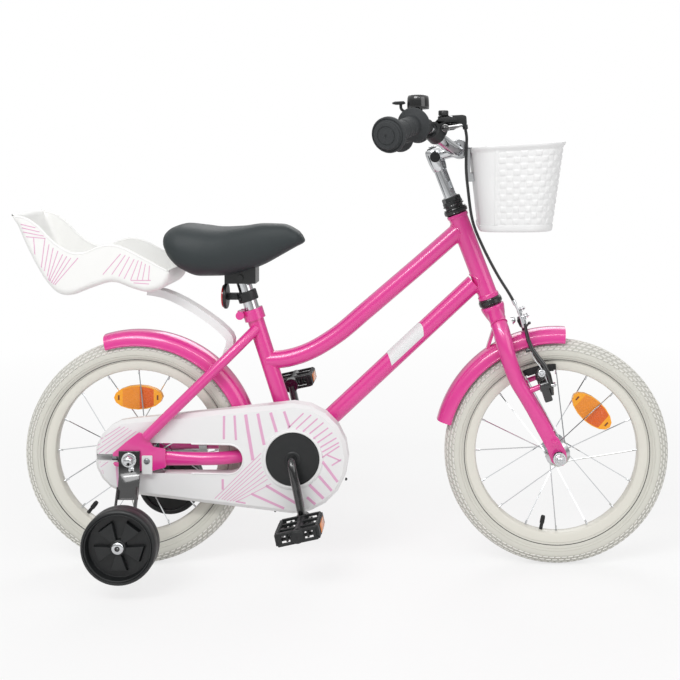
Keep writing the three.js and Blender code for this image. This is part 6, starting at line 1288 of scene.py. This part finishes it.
def stabiliser_bracket_piece(side, word):
    bend = catmull([(-366, side * 62.3, 211), (-366, side * 62.3, 190), (-364.5, side * 66, 172),
                    (-352, side * 143, 112), (-350, side * 153, 100), (-350, side * 153, 78)], 8)
    web_end, foot = int(len(bend) * 0.56), int(len(bend) * 0.78)
    outward = Vector((0, side, 0))
    parts = [ribbon(bend[:web_end], -18, 18, 3.4), ribbon(bend[foot:], -18, 18, 3.4)]
    raised = [tuple(Vector(p) + outward * 4.4 + Vector((0, 0, 1.5))) for p in bend[3:]]
    parts += [ribbon(raised, -18, -15.2, 9), ribbon(raised, 13.6, 18, 9)]
    inner = [tuple(Vector(p) + outward * 2.2) for p in bend[12:web_end - 3]]
    parts.append(ribbon(inner, -7, 7, 3))
    parts.append(spun([(0, 0), (5, 0), (5, 37.6), (0, 37.6)], (-350, side * 152, 90.5), (0, side, 0), 24))
    make(f"stabiliser_bracket_{word}_detailed", *merge(*parts), "frame", "black_gloss",
         [f"stabiliser_bracket_{word}"], bevel=0.8)


for side, word in SIDES:
    stabiliser_bracket_piece(side, word)

# Saddle
STATIONS = [(0, 0.62, 0.8, 0.62), (0.05, 0.84, 0.93, 0.34), (0.14, 0.97, 1, 0.12), (0.26, 1, 0.97, 0),
            (0.4, 0.9, 0.93, 0), (0.55, 0.66, 0.95, 0.06), (0.7, 0.46, 1, 0.2), (0.84, 0.37, 0.99, 0.4),
            (0.95, 0.3, 0.86, 0.56), (1, 0.16, 0.7, 0.62)]


def smooth_at(keys, x):
    """Monotone cubic through (x, value) pairs."""
    xs, ys = np.array([k[0] for k in keys], float), np.array([k[1] for k in keys], float)
    d = np.diff(ys) / np.diff(xs)
    m = np.zeros(len(xs))
    m[1:-1] = np.where(d[:-1] * d[1:] > 0, 2 * d[:-1] * d[1:] / (d[:-1] + d[1:] + 1e-12), 0)
    m[0], m[-1] = d[0], d[-1]
    i = int(np.clip(np.searchsorted(xs, x) - 1, 0, len(xs) - 2))
    h = xs[i + 1] - xs[i]
    t = (x - xs[i]) / h
    near = (1 + 2 * t) * (1 - t) ** 2 * ys[i] + t * (1 - t) ** 2 * h * m[i]
    return near + t * t * (3 - 2 * t) * ys[i + 1] + t * t * (t - 1) * h * m[i + 1]


def saddle_piece():
    rear, front, top, base = -315.0, -75.0, 594.0, 505.0
    ring_keys = [(0, 1), (0.35, 0.99), (0.68, 0.93), (0.9, 0.78), (1, 0.52), (0.97, 0.28), (0.8, 0.1),
                 (0.4, 0)]
    right = [(-y, z) for y, z in ring_keys]
    whole = right + [(y, z) for y, z in reversed(ring_keys[1:])]
    ring = catmull([(y, z, 0) for y, z in whole + [whole[0]]], 56)[:-1, :2]
    shares = 0.5 - 0.5 * np.cos(np.linspace(0, math.pi, 60))
    rings = []
    for s in shares:
        half = smooth_at([(a, b) for a, b, _, _ in STATIONS], s) * 76
        up = smooth_at([(a, c) for a, _, c, _ in STATIONS], s)
        down = smooth_at([(a, d) for a, _, _, d in STATIONS], s)
        end = min(1.0, math.sqrt(max(0.0, 1 - (1 - min(s, 1 - s) / 0.02) ** 2)) if min(s,
                                                                                       1 - s) < 0.02 else 1.0)
        middle = (up + down) / 2
        shrink = 0.35 + 0.65 * end
        up, down = middle + (up - middle) * shrink, middle + (down - middle) * shrink
        half *= shrink
        x = rear + (front - rear) * s
        low = base + (top - base) * down
        height = (top - base) * (up - down)
        rings.append([(x, y * half, low + height * z) for y, z in ring])
    count = len(ring)
    verts = [p for r in rings for p in r]
    faces = [(r * count + i, r * count + (i + 1) % count, (r + 1) * count + (i + 1) % count,
              (r + 1) * count + i) for r in range(len(rings) - 1) for i in range(count)]
    faces += [tuple(range(count))[::-1], tuple(range((len(rings) - 1) * count, len(rings) * count))]
    seat = make("saddle_cover", verts, faces, "saddle", "saddle", ["saddle"], angle=60)
    return seat


saddle_piece()

# Doll seat
OUTER = [(-562, 611), (-537, 553), (-518, 517), (-500, 491), (-484, 478), (-464, 476), (-431, 488),
         (-393, 498), (-360, 487), (-334, 481), (-311, 487), (-299, 499), (-296, 516)]
RIM = [(-562, 611), (-539, 606), (-518, 592), (-498, 571), (-479, 556), (-457, 547), (-436, 549),
       (-418, 557), (-399, 561), (-377, 557), (-345, 541), (-316, 526), (-296, 516)]


def doll_seat_piece():
    low = catmull([(x, 0, z) for x, z in OUTER], 70)
    rim = catmull([(x, 0, z) for x, z in RIM], 70)
    half, wall, round_off = 72.0, 3.4, 13.0
    rows = []
    for inset in (0.0, wall):
        grid = []
        for b, r in zip(low, rim):
            depth = max(r[2] - b[2], 0.1)
            corner = min(round_off, depth * 0.9)
            line = []
            for side in (-1, 1):
                arc = [(half - inset, depth)]
                arc += [(half - inset, depth - (depth - corner) * k / 4) for k in range(1, 4)]
                arc += [(half - corner + (corner - inset) * math.cos(t),
                         corner - (corner - inset) * math.sin(t)) for t in np.linspace(0, math.pi / 2, 8)]
                arc += [((half - corner) * k / 4, inset) for k in (3, 2, 1)]
                points = [(side * y, h) for y, h in arc]
                line += points if side == -1 else [(0, inset)] + points[::-1]
            grid.append([(b[0] + (r[0] - b[0]) * min(h / depth, 1), y, b[2] + h) for y, h in line])
        rows.append(grid)
    count = len(rows[0][0])
    verts = [p for grid in rows for line in grid for p in line]
    length = len(low)
    faces = []
    at = lambda k, i, j: (k * length + i) * count + j
    for i in range(length - 1):
        for j in range(count - 1):
            faces.append((at(0, i, j), at(0, i, j + 1), at(0, i + 1, j + 1), at(0, i + 1, j)))
            faces.append((at(1, i, j), at(1, i + 1, j), at(1, i + 1, j + 1), at(1, i, j + 1)))
        for j in (0, count - 1):
            faces.append((at(0, i, j), at(0, i + 1, j), at(1, i + 1, j), at(1, i, j)))
    for i in (0, length - 1):
        for j in range(count - 1):
            faces.append((at(0, i, j), at(1, i, j), at(1, i, j + 1), at(0, i, j + 1)))
    lips = []
    for side in (-1, 1):
        edge = [(p[0], side * (half - 1.6), p[2] + 0.2) for p in rim[1:-1]]
        lips.append(sweep(edge, circle(2.4, 10)))
    return make("doll_seat_detailed", *merge((verts, faces), *lips), "frame", "doll", ["doll_seat"],
                angle=50)


doll_seat_piece()
DOLL_STRIPES = [
    (-547, 597, -522, 591, 1.3), (-545, 591, -515, 584, 1.3), (-543, 584, -508, 577, 1.3),
    (-538, 576, -505, 573, 1.3), (-525, 574, -523, 546, 1.3), (-506, 572, -512, 524, 1.3),
    (-499, 563, -507, 518, 1.3), (-492, 557, -502, 509, 1.3), (-484, 552, -500, 503, 1.3),
    (-476, 546, -498, 501, 1.3), (-469, 543, -495, 498, 1.3), (-462, 540, -492, 496, 1.3),
    (-450, 540, -489, 495, 1.3), (-378, 547, -408, 512, 1.3), (-370, 545, -393, 512, 1.3),
    (-363, 542, -381, 509, 1.3), (-355, 538, -372, 505, 1.3), (-348, 536, -361, 503, 1.3),
    (-342, 534, -350, 503, 1.3), (-336, 530, -341, 503, 1.3), (-329, 527, -331, 502, 1.3),
    (-361, 502, -327, 502, 1.3), (-356, 498, -330, 496, 1.3),
]
stripes("doll_seat_stripes", DOLL_STRIPES, lambda x, z: -72.0, "frame", "stripe")

# Floor, light, camera


def floor_piece():
    floor_material = bpy.data.materials.new("floor")
    floor_material.use_nodes = True
    floor_shader = floor_material.node_tree.nodes["Principled BSDF"]
    floor_shader.inputs["Base Color"].default_value = (0.86, 0.86, 0.86, 1)
    floor_shader.inputs["Roughness"].default_value = 0.9
    floor_tree = floor_material.node_tree
    ray = floor_tree.nodes.new("ShaderNodeLightPath")
    place = floor_tree.nodes.new("ShaderNodeNewGeometry")
    reach = floor_tree.nodes.new("ShaderNodeVectorMath")
    reach.operation = "LENGTH"
    fade = floor_tree.nodes.new("ShaderNodeMapRange")
    for socket, value in (("From Min", 0.8), ("From Max", 2.4), ("To Min", 0.72), ("To Max", 1.0)):
        fade.inputs[socket].default_value = value
    seen = floor_tree.nodes.new("ShaderNodeMath")
    seen.operation = "MULTIPLY"
    glow = floor_tree.nodes.new("ShaderNodeEmission")
    glow.inputs["Color"].default_value = (1, 1, 1, 1)
    blend = floor_tree.nodes.new("ShaderNodeMixShader")
    floor_tree.links.new(place.outputs["Position"], reach.inputs[0])
    floor_tree.links.new(reach.outputs["Value"], fade.inputs["Value"])
    floor_tree.links.new(fade.outputs["Result"], seen.inputs[0])
    floor_tree.links.new(ray.outputs["Is Camera Ray"], seen.inputs[1])
    floor_tree.links.new(seen.outputs[0], blend.inputs["Fac"])
    floor_tree.links.new(floor_shader.outputs["BSDF"], blend.inputs[1])
    floor_tree.links.new(glow.outputs["Emission"], blend.inputs[2])
    floor_tree.links.new(blend.outputs["Shader"], floor_tree.nodes["Material Output"].inputs["Surface"])
    floor_material.cycles.emission_sampling = "NONE"
    bpy.ops.mesh.primitive_plane_add(size=14, location=(0, 0, -0.0005))
    floor = bpy.context.object
    floor.name = "floor"
    floor.data.materials.append(floor_material)


floor_piece()


def pale_world():
    world = bpy.data.worlds.new("world")
    world.use_nodes = True
    scene.world = world
    tree = world.node_tree
    background = tree.nodes["Background"]
    path = tree.nodes.new("ShaderNodeLightPath")
    way = tree.nodes.new("ShaderNodeTexCoord")
    split = tree.nodes.new("ShaderNodeSeparateXYZ")
    bands = tree.nodes.new("ShaderNodeValToRGB")
    stops = bands.color_ramp.elements
    for position, value in ((0.0, 0.62), (0.46, 0.50), (0.52, 0.30), (0.60, 0.42), (0.72, 0.95),
                            (1.0, 0.85)):
        stop = stops.new(position) if 0 < position < 1 else stops[int(position)]
        stop.color = (value, value, value, 1)
    height = tree.nodes.new("ShaderNodeMapRange")
    height.inputs["From Min"].default_value = -1.0
    mirrored = tree.nodes.new("ShaderNodeMix")
    mirrored.inputs["A"].default_value = 0.5
    seen_white = tree.nodes.new("ShaderNodeMix")
    seen_white.inputs["B"].default_value = 1.0
    tree.links.new(way.outputs["Generated"], split.inputs["Vector"])
    tree.links.new(split.outputs["Z"], height.inputs["Value"])
    tree.links.new(height.outputs["Result"], bands.inputs["Fac"])
    tree.links.new(path.outputs["Is Glossy Ray"], mirrored.inputs["Factor"])
    tree.links.new(bands.outputs["Color"], mirrored.inputs["B"])
    tree.links.new(path.outputs["Is Camera Ray"], seen_white.inputs["Factor"])
    tree.links.new(mirrored.outputs["Result"], seen_white.inputs["A"])
    tree.links.new(seen_white.outputs["Result"], background.inputs["Strength"])
    background.inputs["Color"].default_value = (1, 1, 1, 1)
    world.cycles.sampling_method = "NONE"


pale_world()


def lamp(name, place, target, size, power, width=None):
    data = bpy.data.lights.new(name, "AREA")
    data.size = size
    if width:
        data.shape = "RECTANGLE"
        data.size_y = width
    data.energy = power
    obj = bpy.data.objects.new(name, data)
    scene.collection.objects.link(obj)
    obj.location = place
    obj.rotation_euler = (Vector(target) - Vector(place)).to_track_quat("-Z", "Y").to_euler()


lamp("key", (-1.1, -2.2, 2.6), (0, 0, 0.4), 1.6, 34)
lamp("fill", (2.2, -1.6, 1.6), (0, 0, 0.4), 2.0, 18)
lamp("back", (0.2, 2.6, 2.4), (0, 0, 0.4), 2.0, 26)
lamp("strip", (-0.3, -1.9, 2.0), (0, 0, 0.4), 2.4, 15, 0.16)


def photo_camera():
    camera_data = bpy.data.cameras.new("camera")
    camera = bpy.data.objects.new("camera", camera_data)
    scene.collection.objects.link(camera)
    scene.camera = camera
    camera_data.sensor_width = 36
    camera_data.lens = 58.8
    camera_data.clip_start = 0.05
    camera.location = (0.1529, -1.95, 0.7243)
    camera.rotation_euler = (math.radians(90), 0, 0)
    camera_data.shift_x = -0.1391
    camera_data.shift_y = -0.2809


photo_camera()

scene.view_settings.view_transform = "Standard"
scene.cycles.use_light_tree = False
scene.cycles.caustics_reflective = False
